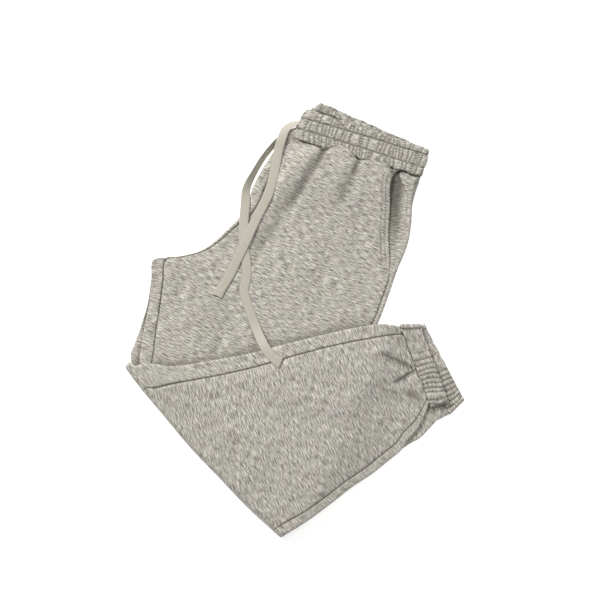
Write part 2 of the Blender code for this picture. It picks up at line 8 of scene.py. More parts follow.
# %% Tools and frame
from collections import namedtuple

import bmesh
import bpy
import numpy as np
from mathutils import Matrix, Vector


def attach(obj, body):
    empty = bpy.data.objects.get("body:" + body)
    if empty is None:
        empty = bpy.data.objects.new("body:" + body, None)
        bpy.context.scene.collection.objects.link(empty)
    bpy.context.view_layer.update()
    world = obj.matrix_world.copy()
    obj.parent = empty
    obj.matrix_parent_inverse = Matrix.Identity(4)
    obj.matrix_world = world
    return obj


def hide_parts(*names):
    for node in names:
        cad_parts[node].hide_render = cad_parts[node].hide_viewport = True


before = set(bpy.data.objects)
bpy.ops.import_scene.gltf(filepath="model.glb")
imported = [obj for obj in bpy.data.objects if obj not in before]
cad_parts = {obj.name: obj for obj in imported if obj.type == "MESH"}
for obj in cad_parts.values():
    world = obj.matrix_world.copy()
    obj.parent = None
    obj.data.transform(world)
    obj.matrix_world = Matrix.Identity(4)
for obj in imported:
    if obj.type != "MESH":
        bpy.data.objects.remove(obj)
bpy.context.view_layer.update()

MM = 0.001

# %% [markdown]
# ## Camera, light and floor
# Clothes for a shop are laid on a table and taken from straight above with a longish
# lens. The light is one big soft box from the upper left and a bright room around it. The
# table is of opal glass, lit a little from inside, which keeps it white under the cloth.

# %% Camera
SEEN_WIDTH = 0.870       # of the table, from side to side of the view, in metres
LENS = 70.0              # in mm, like the sensor
SENSOR = 36.0
AIM = Vector((0.0073, 0.0276, 0.014))

overhead = bpy.data.cameras.new("overhead_camera")
overhead.lens = LENS
overhead.sensor_width = SENSOR
camera = bpy.data.objects.new("overhead_camera", overhead)
camera.location = AIM + Vector((0, 0, SEEN_WIDTH * LENS / SENSOR))
bpy.context.collection.objects.link(camera)
bpy.context.scene.camera = camera
print("camera height", round(camera.location.z, 3))


# %% Colours and nodes
def linear(hex_colour):
    """An sRGB hex value as the linear colour that shaders and lights take."""
    channels = [int(hex_colour[i:i + 2], 16) / 255 for i in (1, 3, 5)]
    light = [c / 12.92 if c <= 0.04045 else ((c + 0.055) / 1.055) ** 2.4 for c in channels]
    return (*light, 1.0)


def add_node(tree, kind, values=(), links=(), **settings):
    """A node with its settings, its socket values and the wires that come in."""
    node = tree.nodes.new(kind)
    for name, value in settings.items():
        setattr(node, name, value)
    for socket, value in dict(values).items():
        node.inputs[socket].default_value = value
    for socket, source in dict(links).items():
        tree.links.new(source, node.inputs[socket])
    return node


def new_material(name):
    """An empty material with its output node and tree."""
    material = bpy.data.materials.new(name)
    material.use_nodes = True
    material.node_tree.nodes.clear()
    return material, material.node_tree


# %% Light and floor
def soft_box(name, place, size, watts, colour):
    """A square area light that looks at the middle of the joggers."""
    data = bpy.data.lights.new(name, "AREA")
    data.size = size
    data.energy = watts
    data.color = linear(colour)[:3]
    light = bpy.data.objects.new(name, data)
    light.location = place
    light.rotation_euler = (AIM - light.location).to_track_quat("-Z", "Y").to_euler()
    bpy.context.collection.objects.link(light)


soft_box("soft_box", Vector((-2.0, 2.5, 2.9)), 1.2, 165, "#fffdfa")
soft_box("ceiling_panel", Vector((1.6, 1.8, 3.2)), 1.3, 50, "#fffefc")
room = bpy.data.worlds.new("bright_room")
room.use_nodes = True
room.node_tree.nodes["Background"].inputs["Color"].default_value = linear("#fbfcff")
room.node_tree.nodes["Background"].inputs["Strength"].default_value = 0.27
bpy.context.scene.world = room
bpy.context.scene.view_settings.view_transform = "Standard"

opal_glass, tree = new_material("matt_opal_glass")
shader = add_node(tree, "ShaderNodeBsdfPrincipled",
                  {"Base Color": linear("#f4f4f3"), "Roughness": 0.8,
                   "Emission Color": linear("#ffffff"), "Emission Strength": 0.55})
add_node(tree, "ShaderNodeOutputMaterial", links={"Surface": shader.outputs[0]})

TABLE_HALF = 3.0         # metres
TABLE_UNDER = 0.0002     # how far the table stays under the cloth, so the two don't flicker
table = bmesh.new()
bmesh.ops.create_grid(table, x_segments=1, y_segments=1, size=TABLE_HALF)
table_mesh = bpy.data.meshes.new("table_top")
table.to_mesh(table_mesh)
table.free()
table_mesh.materials.append(opal_glass)
table_top = bpy.data.objects.new("table_top", table_mesh)
bpy.context.collection.objects.link(table_top)
table_mesh.transform(Matrix.Translation((0, 0, -TABLE_UNDER)))

# %% [markdown]
# ## Materials
# **Heather fleece** is brushed cotton jersey knitted from a grey and a near-white yarn.
# The two never mix evenly, so short streaks run along the knitted rows, round the leg.
# It scatters light softly and has a faint bright fuzz at its edges, which is sheen.

# %% Heather fleece
STREAK_LENGTH = 12.0 * MM    # a run of one yarn colour along a knitted row
STREAK_WIDTH = 1.1 * MM      # a few rows side by side, as fine as shows
FIBRE_LENGTH = 5.0 * MM      # single fibres, finer than the streaks
FIBRE_WIDTH = 0.6 * MM
FUZZ = 1.1 * MM              # the brushed surface's small lumps
SWAY = 2.5 * MM              # how far the rows wander
GROOVE_SHADE = "#45423c"     # what light is left deep in a crease or a seam


def heather(name, dark, middle, light, contrast=1.0):
    """Brushed heather knit whose rows run along the first axis of the UV map.

    The painted-shade attribute darkens the colour towards GROOVE_SHADE: shade painted where a
    crease, a gather or a seam shuts the light out, under the turned-up leg and beside the
    pocket's edge.
    """
    material, tree = new_material(name)
    place = add_node(tree, "ShaderNodeUVMap", uv_map="cloth").outputs[0]
    drift = add_node(tree, "ShaderNodeTexNoise", {"Scale": 55.0, "Detail": 1.0},
                     {"Vector": place})
    turned = add_node(tree, "ShaderNodeVectorMath", {1: (0.5, 0.5, 0.5)},
                      {0: drift.outputs["Color"]}, operation="SUBTRACT")
    sway = add_node(tree, "ShaderNodeVectorMath", {"Scale": SWAY},
                    {0: turned.outputs[0]}, operation="SCALE")
    wavy = add_node(tree, "ShaderNodeVectorMath", {}, {0: place, 1: sway.outputs[0]},
                    operation="ADD").outputs[0]
    rows = add_node(tree, "ShaderNodeMapping",
                    {"Scale": (1 / STREAK_LENGTH, 1 / STREAK_WIDTH, 1.0)}, {"Vector": wavy})
    streak = add_node(tree, "ShaderNodeTexNoise",
                      {"Scale": 1.0, "Detail": 3.0, "Roughness": 0.62},
                      {"Vector": rows.outputs[0]})
    thin = add_node(tree, "ShaderNodeMapping",
                    {"Scale": (1 / FIBRE_LENGTH, 1 / FIBRE_WIDTH, 1.0)}, {"Vector": wavy})
    fibre = add_node(tree, "ShaderNodeTexNoise", {"Scale": 1.0, "Detail": 2.0},
                     {"Vector": thin.outputs[0]})
    mixed = add_node(tree, "ShaderNodeMix", {"Factor": 0.25},
                     {"A": streak.outputs[0], "B": fibre.outputs[0]}, data_type="FLOAT")
    colour = add_node(tree, "ShaderNodeValToRGB", links={"Fac": mixed.outputs[0]})
    half = 0.13 / contrast
    ramp = colour.color_ramp
    ramp.elements[0].position = 0.5 - half
    ramp.elements[0].color = linear(dark)
    ramp.elements[1].position = 0.5 + half
    ramp.elements[1].color = linear(light)
    ramp.elements.new(0.5).color = linear(middle)
    tinted = add_node(tree, "ShaderNodeMix", {0: 0.09},
                      {6: colour.outputs[0], 7: drift.outputs["Color"]},
                      data_type="RGBA", blend_type="SOFT_LIGHT")
    groove = add_node(tree, "ShaderNodeAttribute", attribute_name="groove")
    # Painted shade: the colour is mixed towards GROOVE_SHADE as far as the painted-shade
    # attribute says
    shaded = add_node(tree, "ShaderNodeMix", {7: linear(GROOVE_SHADE)},
                      {0: groove.outputs["Fac"], 6: tinted.outputs[2]}, data_type="RGBA")
    fuzz = add_node(tree, "ShaderNodeTexNoise",
                    {"Scale": 1 / FUZZ, "Detail": 3.0, "Roughness": 0.6}, {"Vector": place})
    heights = add_node(tree, "ShaderNodeMath", {1: 0.4},
                       {0: fuzz.outputs[0], 2: mixed.outputs[0]}, operation="MULTIPLY_ADD")
    bump = add_node(tree, "ShaderNodeBump", {"Strength": 0.55, "Distance": 0.5 * MM},
                    {"Height": heights.outputs[0]})
    shader = add_node(tree, "ShaderNodeBsdfPrincipled",
                      {"Roughness": 0.92, "Specular IOR Level": 0.25, "Sheen Weight": 0.12,
                       "Sheen Roughness": 0.5},
                      {"Base Color": shaded.outputs[2], "Normal": bump.outputs[0]})
    add_node(tree, "ShaderNodeOutputMaterial", links={"Surface": shader.outputs[0]})
    return material


fleece = heather("heather_fleece", "#827f77", "#aba79e", "#d8d5cb", 2.0)
print("fleece nodes", len(fleece.node_tree.nodes))

# %% [markdown]
# **Drawcord tape** is a flat braid of undyed cotton and polyester. Its fine chevron shows
# only close up; from a distance it is a smooth pale band, a little glossier than fleece.

# %% Drawcord tape
BRAID_PITCH = 2.2 * MM


def braided_tape(name, shade):
    """Flat braid: slanted yarns from both edges meet on the middle line."""
    material, tree = new_material(name)
    place = add_node(tree, "ShaderNodeUVMap", uv_map="cloth").outputs[0]
    parts = add_node(tree, "ShaderNodeSeparateXYZ", {}, {"Vector": place})
    slant = add_node(tree, "ShaderNodeMath", {}, {0: parts.outputs["X"]}, operation="ABSOLUTE")
    along = add_node(tree, "ShaderNodeMath", {}, {0: parts.outputs["Y"], 1: slant.outputs[0]},
                     operation="ADD")
    turns = add_node(tree, "ShaderNodeMath", {1: 2 * np.pi / BRAID_PITCH}, {0: along.outputs[0]},
                     operation="MULTIPLY")
    ridge = add_node(tree, "ShaderNodeMath", {}, {0: turns.outputs[0]}, operation="SINE")
    speck = add_node(tree, "ShaderNodeTexNoise", {"Scale": 900.0, "Detail": 2.0},
                     {"Vector": place})
    level = add_node(tree, "ShaderNodeMath", {1: 0.16},
                     {0: ridge.outputs[0], 2: speck.outputs[0]}, operation="MULTIPLY_ADD")
    colour = add_node(tree, "ShaderNodeValToRGB", links={"Fac": level.outputs[0]})
    colour.color_ramp.elements[0].position = 0.2
    colour.color_ramp.elements[0].color = linear(shade[0])
    colour.color_ramp.elements[1].position = 0.75
    colour.color_ramp.elements[1].color = linear(shade[1])
    bump = add_node(tree, "ShaderNodeBump", {"Strength": 0.5, "Distance": 0.25 * MM},
                    {"Height": level.outputs[0]})
    shader = add_node(tree, "ShaderNodeBsdfPrincipled",
                      {"Roughness": 0.75, "Specular IOR Level": 0.35, "Sheen Weight": 0.08},
                      {"Base Color": colour.outputs[0], "Normal": bump.outputs[0]})
    add_node(tree, "ShaderNodeOutputMaterial", links={"Surface": shader.outputs[0]})
    return material


tape = braided_tape("braided_cotton_tape", ("#a8a295", "#c2bdb1"))
thread = braided_tape("spun_polyester_thread", ("#8e887d", "#b5afa3"))
print("tape nodes", len(tape.node_tree.nodes))

# %% [markdown]
# ## How cloth is made here
# Each sheet starts as a flat grid. A function then says where every point of the grid
# goes, and where it was on the flat cloth, which is what the streaks follow. A Solidify
# modifier gives the sheet its wall, inwards, so the outside stays where it was put.

# %% Sheets from grids
CLOTH_WALL = 1.8
SEWN = 0.02              # corners as near as this become one, in mm


def add_sheet(shape, points, flat, groove=None):
    """A grid whose corner (row, column) moves to points[row, column], in mm.

    flat is where it was on the flat cloth, and the third grid how much shade is painted there.
    """
    flat_layer = shape.loops.layers.uv.get("cloth") or shape.loops.layers.uv.new("cloth")
    groove_layer = (shape.verts.layers.float.get("groove")
                    or shape.verts.layers.float.new("groove"))
    rows, columns = points.shape[:2]
    made = bmesh.ops.create_grid(shape, x_segments=columns - 1, y_segments=rows - 1, size=1)
    where = {}
    for corner in made["verts"]:
        column = round((corner.co.x + 1) / 2 * (columns - 1))
        row = round((corner.co.y + 1) / 2 * (rows - 1))
        where[corner] = flat[row, column] * MM
        corner.co = points[row, column] * MM
        if groove is not None:
            corner[groove_layer] = groove[row, column]
    for face in {face for corner in made["verts"] for face in corner.link_faces}:
        for loop in face.loops:
            loop[flat_layer].uv = where[loop.vert]
        face.smooth = True


def finish_piece(shape, name, material, wall=0.0):
    """Turns a bmesh into a piece on the root body, with a wall if it is cloth."""
    mesh = bpy.data.meshes.new(name)
    shape.to_mesh(mesh)
    shape.free()
    mesh.materials.append(material)
    piece = bpy.data.objects.new(name, mesh)
    bpy.context.collection.objects.link(piece)
    if wall:
        thicken = piece.modifiers.new("wall", "SOLIDIFY")
        thicken.thickness = wall * MM
        thicken.offset = -1
        thicken.use_rim = True
    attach(piece, "root")
    print(name, len(mesh.polygons), "faces")
    return piece


def cloth(name, sheets, wall=CLOTH_WALL):
    """One fleece piece from (points, flat, painted shade) grids, sewn where their edges meet."""
    shape = bmesh.new()
    for sheet in sheets:
        add_sheet(shape, *sheet)
    bmesh.ops.remove_doubles(shape, verts=shape.verts, dist=SEWN * MM)
    return finish_piece(shape, name, fleece, wall)


def turned_over(*grids):
    """The same grids with their faces the other way, for sheets that run backwards."""
    return [grid[:, ::-1] for grid in grids]


# %% Curves through tables
def smooth(share):
    """0 to 1 with level ends."""
    share = np.clip(share, 0.0, 1.0)
    return share * share * (3 - 2 * share)


def through(values, place):
    """Values at places between the entries of a list, on a smooth curve."""
    values = np.asarray(values, float)
    first = np.clip(np.floor(place).astype(int), 0, len(values) - 2)
    t = place - first
    if values.ndim > 1:
        t = t[..., None]
    a = values[np.maximum(first - 1, 0)]
    b = values[first]
    c = values[first + 1]
    d = values[np.minimum(first + 2, len(values) - 1)]
    return 0.5 * (2 * b + (c - a) * t + (2 * a - 5 * b + 4 * c - d) * t ** 2
                  + (3 * b - a - 3 * c + d) * t ** 3)


def read(table, name, place):
    """One column of a table, at places between its rows."""
    return through([getattr(row, name) for row in table], place)


def even_places(points, first, last, step):
    """Places along a table of points, about a step apart."""
    fine = np.linspace(first, last, 400)
    line = through(points, fine)
    lengths = np.hypot(*np.diff(line[:, :2], axis=0).T)
    travelled = np.concatenate([[0], np.cumsum(lengths)])
    count = max(2, round(travelled[-1] / step) + 1)
    return np.interp(np.linspace(0, travelled[-1], count), travelled, fine)


# %% [markdown]
# ## Drawcords
# Two flat cords come out at the centre front of the waistband. The upper one is turned on
# its edge where it leaves, then lies flat down the rise; the lower one runs on edge
# beside the rise, comes out from under the first and ends on the turned-up leg. Each row
# of a table is a point of the cord's middle, in metres, and its tilt in degrees.

# %% Cord tables
Knot = namedtuple("Knot", "x y z tilt")
CORD_LEFT = [
    Knot(0.005, 0.285, 0.009, 60),
    Knot(-0.004, 0.283, 0.0115, 45),
    Knot(-0.014, 0.274, 0.0154, 28),
    Knot(-0.020, 0.259, 0.0160, 8),
    Knot(-0.024, 0.245, 0.0150, 4),
    Knot(-0.028, 0.223, 0.0148, 0),
    Knot(-0.033, 0.200, 0.0153, 0),
    Knot(-0.039, 0.180, 0.0152, 0),
    Knot(-0.048, 0.162, 0.0150, 0),
    Knot(-0.057, 0.144, 0.0154, 0),
    Knot(-0.067, 0.122, 0.0167, 0),
    Knot(-0.075, 0.104, 0.0173, 0),
    Knot(-0.083, 0.088, 0.0167, 0),
    Knot(-0.091, 0.071, 0.0155, 0),
    Knot(-0.100, 0.055, 0.0152, 0),
    Knot(-0.107, 0.044, 0.0152, 0),
    Knot(-0.113, 0.033, 0.0152, 0),
]
CORD_RIGHT = [
    Knot(0.002, 0.276, 0.0069, -74),
    Knot(-0.010, 0.269, 0.0069, -56),
    Knot(-0.027, 0.2575, 0.0072, -58),
    Knot(-0.0445, 0.237, 0.0080, -58),
    Knot(-0.0595, 0.2125, 0.0094, -52),
    Knot(-0.070, 0.190, 0.0122, -32),
    Knot(-0.072, 0.168, 0.0136, -5),
    Knot(-0.074, 0.144, 0.0142, 0),
    Knot(-0.075, 0.122, 0.0148, 0),
    Knot(-0.074, 0.104, 0.0151, 0),
    Knot(-0.071, 0.086, 0.0151, 0),
    Knot(-0.070, 0.071, 0.0151, 0),
    Knot(-0.071, 0.057, 0.0151, 0),
    Knot(-0.074, 0.042, 0.0151, 0),
    Knot(-0.071, 0.028, 0.0151, 0),
    Knot(-0.065, 0.010, 0.0152, 0),
    Knot(-0.058, -0.009, 0.0162, 0),
    Knot(-0.052, -0.023, 0.0204, 0),
    Knot(-0.045, -0.037, 0.0268, 0),
    Knot(-0.037, -0.049, 0.0289, 0),
    Knot(-0.028, -0.058, 0.0292, 0),
    Knot(-0.020, -0.063, 0.0294, 0),
]
CORD_WIDTH = 0.0135
CORD_THICK = 0.0016
CORD_STEP = 0.0016
CORD_ROUND = 24
TIP_LENGTH = 0.016       # the braid spreads over this much at its cut end
BAR_FROM_TIP = 0.009     # a row of stitches holds the braid here
BAR_WIDTH = 0.0012


# %% Cord shape
def drawcord(name, knots, flare, fray, seed):
    """A flat braid along its knots, closed at both ends, with a sewn tip.

    flare is how much wider the tip gets, and fray how unevenly it is cut, in metres.
    """
    route = np.array(knots)
    places = even_places(route, 0, len(knots) - 1, CORD_STEP)
    line = through(route[:, :3], places)
    tilt = np.radians(through(route[:, 3], places))
    tangent = np.gradient(line, axis=0)
    tangent /= np.linalg.norm(tangent, axis=1)[:, None]
    side = np.cross((0, 0, 1), tangent)
    side /= np.linalg.norm(side, axis=1)[:, None]
    rise = np.cross(tangent, side)
    sideways = side * np.cos(tilt)[:, None] + rise * np.sin(tilt)[:, None]
    upwards = np.cross(tangent, sideways)
    lengths = np.linalg.norm(np.diff(line, axis=0), axis=1)
    travelled = np.concatenate([[0], np.cumsum(lengths)])
    to_tip = travelled[-1] - travelled
    tip = 1 - smooth(to_tip / TIP_LENGTH)
    bar = np.exp(-((to_tip - BAR_FROM_TIP) / BAR_WIDTH) ** 2)
    angle = np.linspace(0, 2 * np.pi, CORD_ROUND + 1)
    flat_x = np.sign(np.cos(angle)) * np.abs(np.cos(angle)) ** 0.55
    flat_z = np.sign(np.sin(angle)) * np.abs(np.sin(angle)) ** 0.8
    half_width = CORD_WIDTH / 2 * (1 + flare * tip - 0.04 * bar)
    half_thick = CORD_THICK / 2 * (1 + 0.5 * tip + 0.5 * bar)
    points = (line[:, None]
              + sideways[:, None] * (half_width[:, None] * flat_x)[..., None]
              + upwards[:, None] * (half_thick[:, None] * flat_z)[..., None])
    ragged = np.random.default_rng(seed).normal(0, fray, CORD_ROUND)
    points[-1, :-1] += tangent[-1] * ragged[:, None]
    points[-1, -1] = points[-1, 0]
    across = np.broadcast_to(half_width[:, None] * flat_x, points.shape[:2])
    along = np.broadcast_to(travelled[:, None], points.shape[:2])
    shape = bmesh.new()
    add_sheet(shape, points / MM, np.stack([across, along], -1) / MM)
    bmesh.ops.remove_doubles(shape, verts=shape.verts, dist=0.005 * MM)
    bmesh.ops.holes_fill(shape, edges=[e for e in shape.edges if e.is_boundary], sides=0)
    bmesh.ops.recalc_face_normals(shape, faces=shape.faces)
    piece = finish_piece(shape, name, tape)
    print(name, "length", round(float(travelled[-1]), 3))
    return piece


cord_left = drawcord("drawcord_left_tape", CORD_LEFT, 0.14, 0.0004, 3)
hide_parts("drawcord_left")
cord_right = drawcord("drawcord_right_tape", CORD_RIGHT, 0.22, 0.0011, 8)
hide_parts("drawcord_right")

# %% [markdown]
# ## Sections of the legs
# The same tables as the CAD: each row is a section across the two legs, from its left end
# on the table to its right end, in millimetres. The seam columns say how far in from the
# edge each seam lies, the inset and inner columns how far in the left leg's edges are, and
# under where the front meets the back on the underside. The pile is about 12 mm across the
# thigh and 27 mm where the turned-up legs lie on it.

# %% Leg tables
Section = namedtuple("Section", "lx ly rx ry bow inset_l inset_r seam_l seam_r under")
LEGS = [
    Section(1, 260, 183, 207, 0, 0, 0, 3, 31, 0),
    Section(-20, 257, 180, 196, 0, 0, 6, 5, 34, 0),
    Section(-39, 231, 175, 181, 0, 0, 4, 12, 34, 0),
    Section(-61, 193, 171, 164, 0, 0, 2, 17, 31, 0),
    Section(-71, 161, 170, 144, 0, 0, 1, 13, 32, 0),
    Section(-97, 132, 167, 120, 0, 0, 1, 8, 30, 0),
    Section(-133, 102, 161, 99, 0, 0, 1, 7, 23, 0),
    Section(-173, 90, 152, 78, 0, 0, 1, 7, 13, 0),
    Section(-206, 86.5, 145, 59, 0, 0.3, 1, 17.5, 7, 6),
    Section(-210, 57, 136, 33, 0, 1, 1, 17, 7, 12),
    Section(-215, 23, 122, -4, 0, 3, 1, 16, 7, 14),
    Section(-225, -10, 90, -77, 0, 6, 2, 18, 8, 20),
    Section(-235, -38, 54, -158, 1.5, 12, 3, 20, 10, 28),
    Section(-239, -47, 23, -226, 3, 16, 4, 21, 12, 35),
    Section(-240, -50, -6, -290, 5, 20, 4, 22, 14, 41),
    Section(-239, -62, -13, -310, 8, 0, 0, 0, 16, 45),
]
CROTCH = 8               # the section where the rise ends and the inseam starts
LAST = 14                # the last section before the knee's fold
CREASE = LEGS[-1]        # the line of the fold

Turned = namedtuple("Turned", "lx ly rx ry bow seam_l seam_r inner_l inner_r")
SHINS = [
    Turned(-233, -68, 1, -302, 6, 43, 16, 10, 4),
    Turned(-210, -64, 26, -286, 3, 43, 14, 7, 3),
    Turned(-174, -68, 55, -265, 1, 31, 13, 4, 2),
    Turned(-130, -61, 83, -244, 0, 30, 13, 4, 1),
    Turned(-72, -51, 112, -225, 0, 25, 13, 4, 1),
    Turned(-14, -36, 136, -206, 0, 22, 13, 4, 1),
    Turned(39, -23, 154, -191, 0, 20, 13, 4, 0),
    Turned(83, -13, 165, -175, 0, 20, 13, 5, -7),
    Turned(126, -7, 180, -157, 0, 18, 12, 6, -15),
    Turned(151, -10, 196, -122, 0, 13, 8, 8, -28),
]
INNER_END = Turned(158, -16, 226, -138, 0, 0, 0, 0, 0)
KNEE_END = len(SHINS) - 1

LEG = 5.6                # one leg: two layers of fleece and the air between them
EDGE = LEG / 2           # radius of a leg's rounded edge
STACK = 11.6             # both legs, flat
CROWN = 2.3              # how much higher the middle is
REST = 14.3              # what the turned-up legs rest on
INNER_LEG = 6.0          # the left leg inside the fold
UPPER = INNER_LEG + 0.8 + LEG
FOLD_REACH = 11.0        # how far the knee's half-round stands out past its crease
FOLD_OUT = np.array((-0.739, -0.674))
FOLD_HEIGHT = REST + UPPER
KNEE_CLOTH = 28.0        # length of cloth that the half-round takes
THIGH_EDGE = ((120, -9), (-17, -316))    # side seam of the thigh, under the shin
DROP_START = 4.0         # past that edge the shin sinks to the table
DROP = 80.0
GAP = 0.3                # between pieces at a seam


# %% Points on a section
def width_of(table, place):
    """Width of a section."""
    return np.hypot(read(table, "rx", place) - read(table, "lx", place),
                    read(table, "ry", place) - read(table, "ly", place))


def plan(table, place, across):
    """Point on the table top, so far along a section from its left end."""
    share = across / width_of(table, place)
    bow = 4 * share * (1 - share) * read(table, "bow", place)
    lx, ly = read(table, "lx", place), read(table, "ly", place)
    x = lx + (read(table, "rx", place) - lx) * share + FOLD_OUT[0] * bow
    y = ly + (read(table, "ry", place) - ly) * share + FOLD_OUT[1] * bow
    return x, y


def table_points(table):
    """The middle of each section, to space the rows of a grid along the leg."""
    return [((row.lx + row.rx) / 2, (row.ly + row.ry) / 2) for row in table]


# %% [markdown]
# ## Where a point was on the flat cloth
# The knitted rows run straight round the leg, square to the line from hip to knee. On the
# part that is turned up, the cloth is mirrored across the knee's fold, so its rows slope
# the other way. This gives each point its place on the flat cloth.

# %% Flat cloth coordinates
ROW_SLOPE = np.radians(-24)
# Where strips with their own flat coordinates start, so that no two show the same streaks
BACK_FLAT = 40.0
RISE_FLAT = 300.0
KNEE_FLAT = 480.0
SHIN_FLAT = 500.0
POCKET_FLAT = 700.0
SHIN_PITCH = 42.0        # from one section of the shin to the next, on average


def flat_of(x, y, turn=0.0):
    """Place on the flat panel; turn is how far the cloth has gone past the crease."""
    x = x + FOLD_OUT[0] * turn
    y = y + FOLD_OUT[1] * turn
    along = x * np.cos(ROW_SLOPE) + y * np.sin(ROW_SLOPE)
    down = -x * np.sin(ROW_SLOPE) + y * np.cos(ROW_SLOPE)
    return np.stack([along, down], -1)


def mirrored(x, y):
    """A point of the turned-up leg, put back across the bowed crease."""
    dx, dy = CREASE.rx - CREASE.lx, CREASE.ry - CREASE.ly
    share = ((x - CREASE.lx) * dx + (y - CREASE.ly) * dy) / (dx ** 2 + dy ** 2)
    bow = 4 * np.clip(share * (1 - share), 0, 1) * CREASE.bow
    beyond = (x - CREASE.lx) * FOLD_OUT[0] + (y - CREASE.ly) * FOLD_OUT[1] - bow
    return x - 2 * beyond * FOLD_OUT[0], y - 2 * beyond * FOLD_OUT[1]


# %% [markdown]
# ## Heights: crown, puffs and creases
# Fleece this thick never lies quite flat. The legs crown between their edges, the cloth
# below the elastic puffs up between a few deep pleats, and long shallow creases run from
# the knee and the cuff. Each crease is a line with its own width, depth and fade.

# %% Crease tables
Crease = namedtuple("Crease", "x0 y0 x1 y1 half_width depth fade")
THIGH_CREASES = [
    Crease(46, 246, 29, 219, 4.5, 6.2, 14),
    Crease(31, 224, 0, 172, 6.5, 5.2, 30),
    Crease(0, 175, -44, 112, 10, 3.4, 40),
    Crease(94, 231, 86, 212, 4.5, 6.0, 12),
    Crease(87, 216, 72, 178, 7.5, 3.8, 26),
    Crease(135, 226, 143, 212, 2.6, 4.0, 8),
    Crease(14, 257, 8, 249, 3, 1.5, 6),
    Crease(-58, 150, -96, 100, 11, 1.3, 24),
    Crease(60, 100, 20, 40, 22, 0.9, 34),
    Crease(-80, 40, -130, -20, 14, 1.0, 28),
    Crease(-105, -4, -118, -42, 7, 1.4, 18),
    Crease(-190, 60, -196, 10, 7, 0.7, 22),
    Crease(96, 150, 84, 90, 14, 0.7, 30),
    Crease(-140, 70, -180, 30, 16, 0.8, 30),
    Crease(10, 110, 40, 60, 18, -0.8, 30),
    Crease(-60, 60, -40, 10, 16, -0.8, 24),
    Crease(-160, 0, -200, -30, 14, -0.7, 20),
]
SHIN_CREASES = [
    Crease(130, -52, 168, -70, 4, 3.0, 12),
    Crease(149, -90, 172, -76, 4, 3.0, 12),
    Crease(168, -108, 182, -118, 8, 2.6, 10),
    Crease(120, -100, 150, -112, 9, 1.4, 18),
    Crease(148, -9, 152, -40, 1.4, 2.0, 4),
    Crease(154, -10, 158, -40, 1.4, 2.0, 4),
    Crease(140, -20, 146, -44, 5, 1.0, 12),
    Crease(-160, -100, -120, -110, 10, 0.9, 24),
    Crease(-120, -225, -90, -180, 12, 1.0, 30),
    Crease(-70, -262, -40, -215, 12, 0.9, 30),
    Crease(-200, -110, -150, -135, 9, 0.8, 24),
    Crease(-30, -120, 30, -140, 14, 0.7, 34),
    Crease(60, -150, 100, -120, 12, 0.8, 26),
    Crease(20, -80, 70, -70, 12, 0.6, 26),
    Crease(-90, -150, -40, -160, 14, -0.7, 28),
    Crease(40, -190, 80, -175, 10, -0.6, 22),
]


# %% Heights of the thigh
WIDE_BANK = 1.35         # one bank of a crease is wide
STEEP_BANK = 0.7         # and the other is steep
SHIN_SHADE = 9.0         # how far the turned-up leg's shade reaches over the thigh


def creased(x, y, creases):
    """How deep the creases sink a point, with soft sides and ends."""
    depth_and_shade = np.zeros(np.shape(x))
    for c in creases:
        dx, dy = c.x1 - c.x0, c.y1 - c.y0
        length = np.hypot(dx, dy)
        along = ((x - c.x0) * dx + (y - c.y0) * dy) / length
        beside = ((x - c.x0) * dy - (y - c.y0) * dx) / length
        beyond = np.maximum(np.maximum(-along, along - length), 0)
        reach = c.half_width * np.where(beside > 0, WIDE_BANK, STEEP_BANK)
        shape = np.exp(-(beside / reach) ** 2) * np.exp(-(beyond / (0.6 * c.fade)) ** 2)
        depth_and_shade = np.where(np.abs(c.depth * shape) > np.abs(depth_and_shade), c.depth * shape, depth_and_shade)
    return depth_and_shade


def ripple(x, y):
    """The slight unevenness of cloth that has been patted flat."""
    return (0.28 * np.sin(x / 23 + 0.6 * np.sin(y / 31)) * np.sin(y / 29 + 1.3)
            + 0.16 * np.sin((x + y) / 11.0 + 1.7 * np.sin(x / 37)) * np.sin((x - y) / 17))


def painted_shin_shadow(x, y):
    """Painted shadow of the turned-up leg: 1 where the thigh goes under it, fading away from it.
    """
    edge = np.interp(x, [row.lx for row in SHINS], [row.ly for row in SHINS])
    return np.exp(-(np.maximum(y - edge, 0) / SHIN_SHADE) ** 2)


def below_waist(x, y):
    """Distance down the leg from the waist seam."""
    waist = LEGS[0]
    dx, dy = waist.rx - waist.lx, waist.ry - waist.ly
    return ((x - waist.lx) * dy - (y - waist.ly) * dx) / np.hypot(dx, dy)


def crown(place, across):
    """Rise of the cloth between the edges of the legs, nought at the knee."""
    width = width_of(LEGS, place)
    from_left = across - read(LEGS, "inset_l", place)
    from_right = width - read(LEGS, "inset_r", place) - across
    to_knee = smooth(0.25 + (read(LEGS, "ly", place) - CREASE.ly) / 60)
    return CROWN * smooth(from_left / 60) * smooth((from_right - 30) / 60) * to_knee


def waist_lift(place, across):
    """0 to 1: how much the bunched cloth below the elastic is raised."""
    down = below_waist(*plan(LEGS, place, across))
    from_left = smooth((across - 10) / 45)
    from_right = smooth((width_of(LEGS, place) - across - 62) / 40)
    at_seam = 0.35 + 0.65 * smooth(down / 25)
    return from_left * from_right * at_seam * (1 - smooth((down - 20) / 90))


# %% [markdown]
# ## Waist seam
# Elastic draws the body up in puffs that roll over the lower edge of the waistband.
# The table says, along the seam, how far the cloth reaches up over the band; where it is
# below nought the band's gathers reach down instead. At the centre front a shoulder of
# cloth stands out past the band's end.

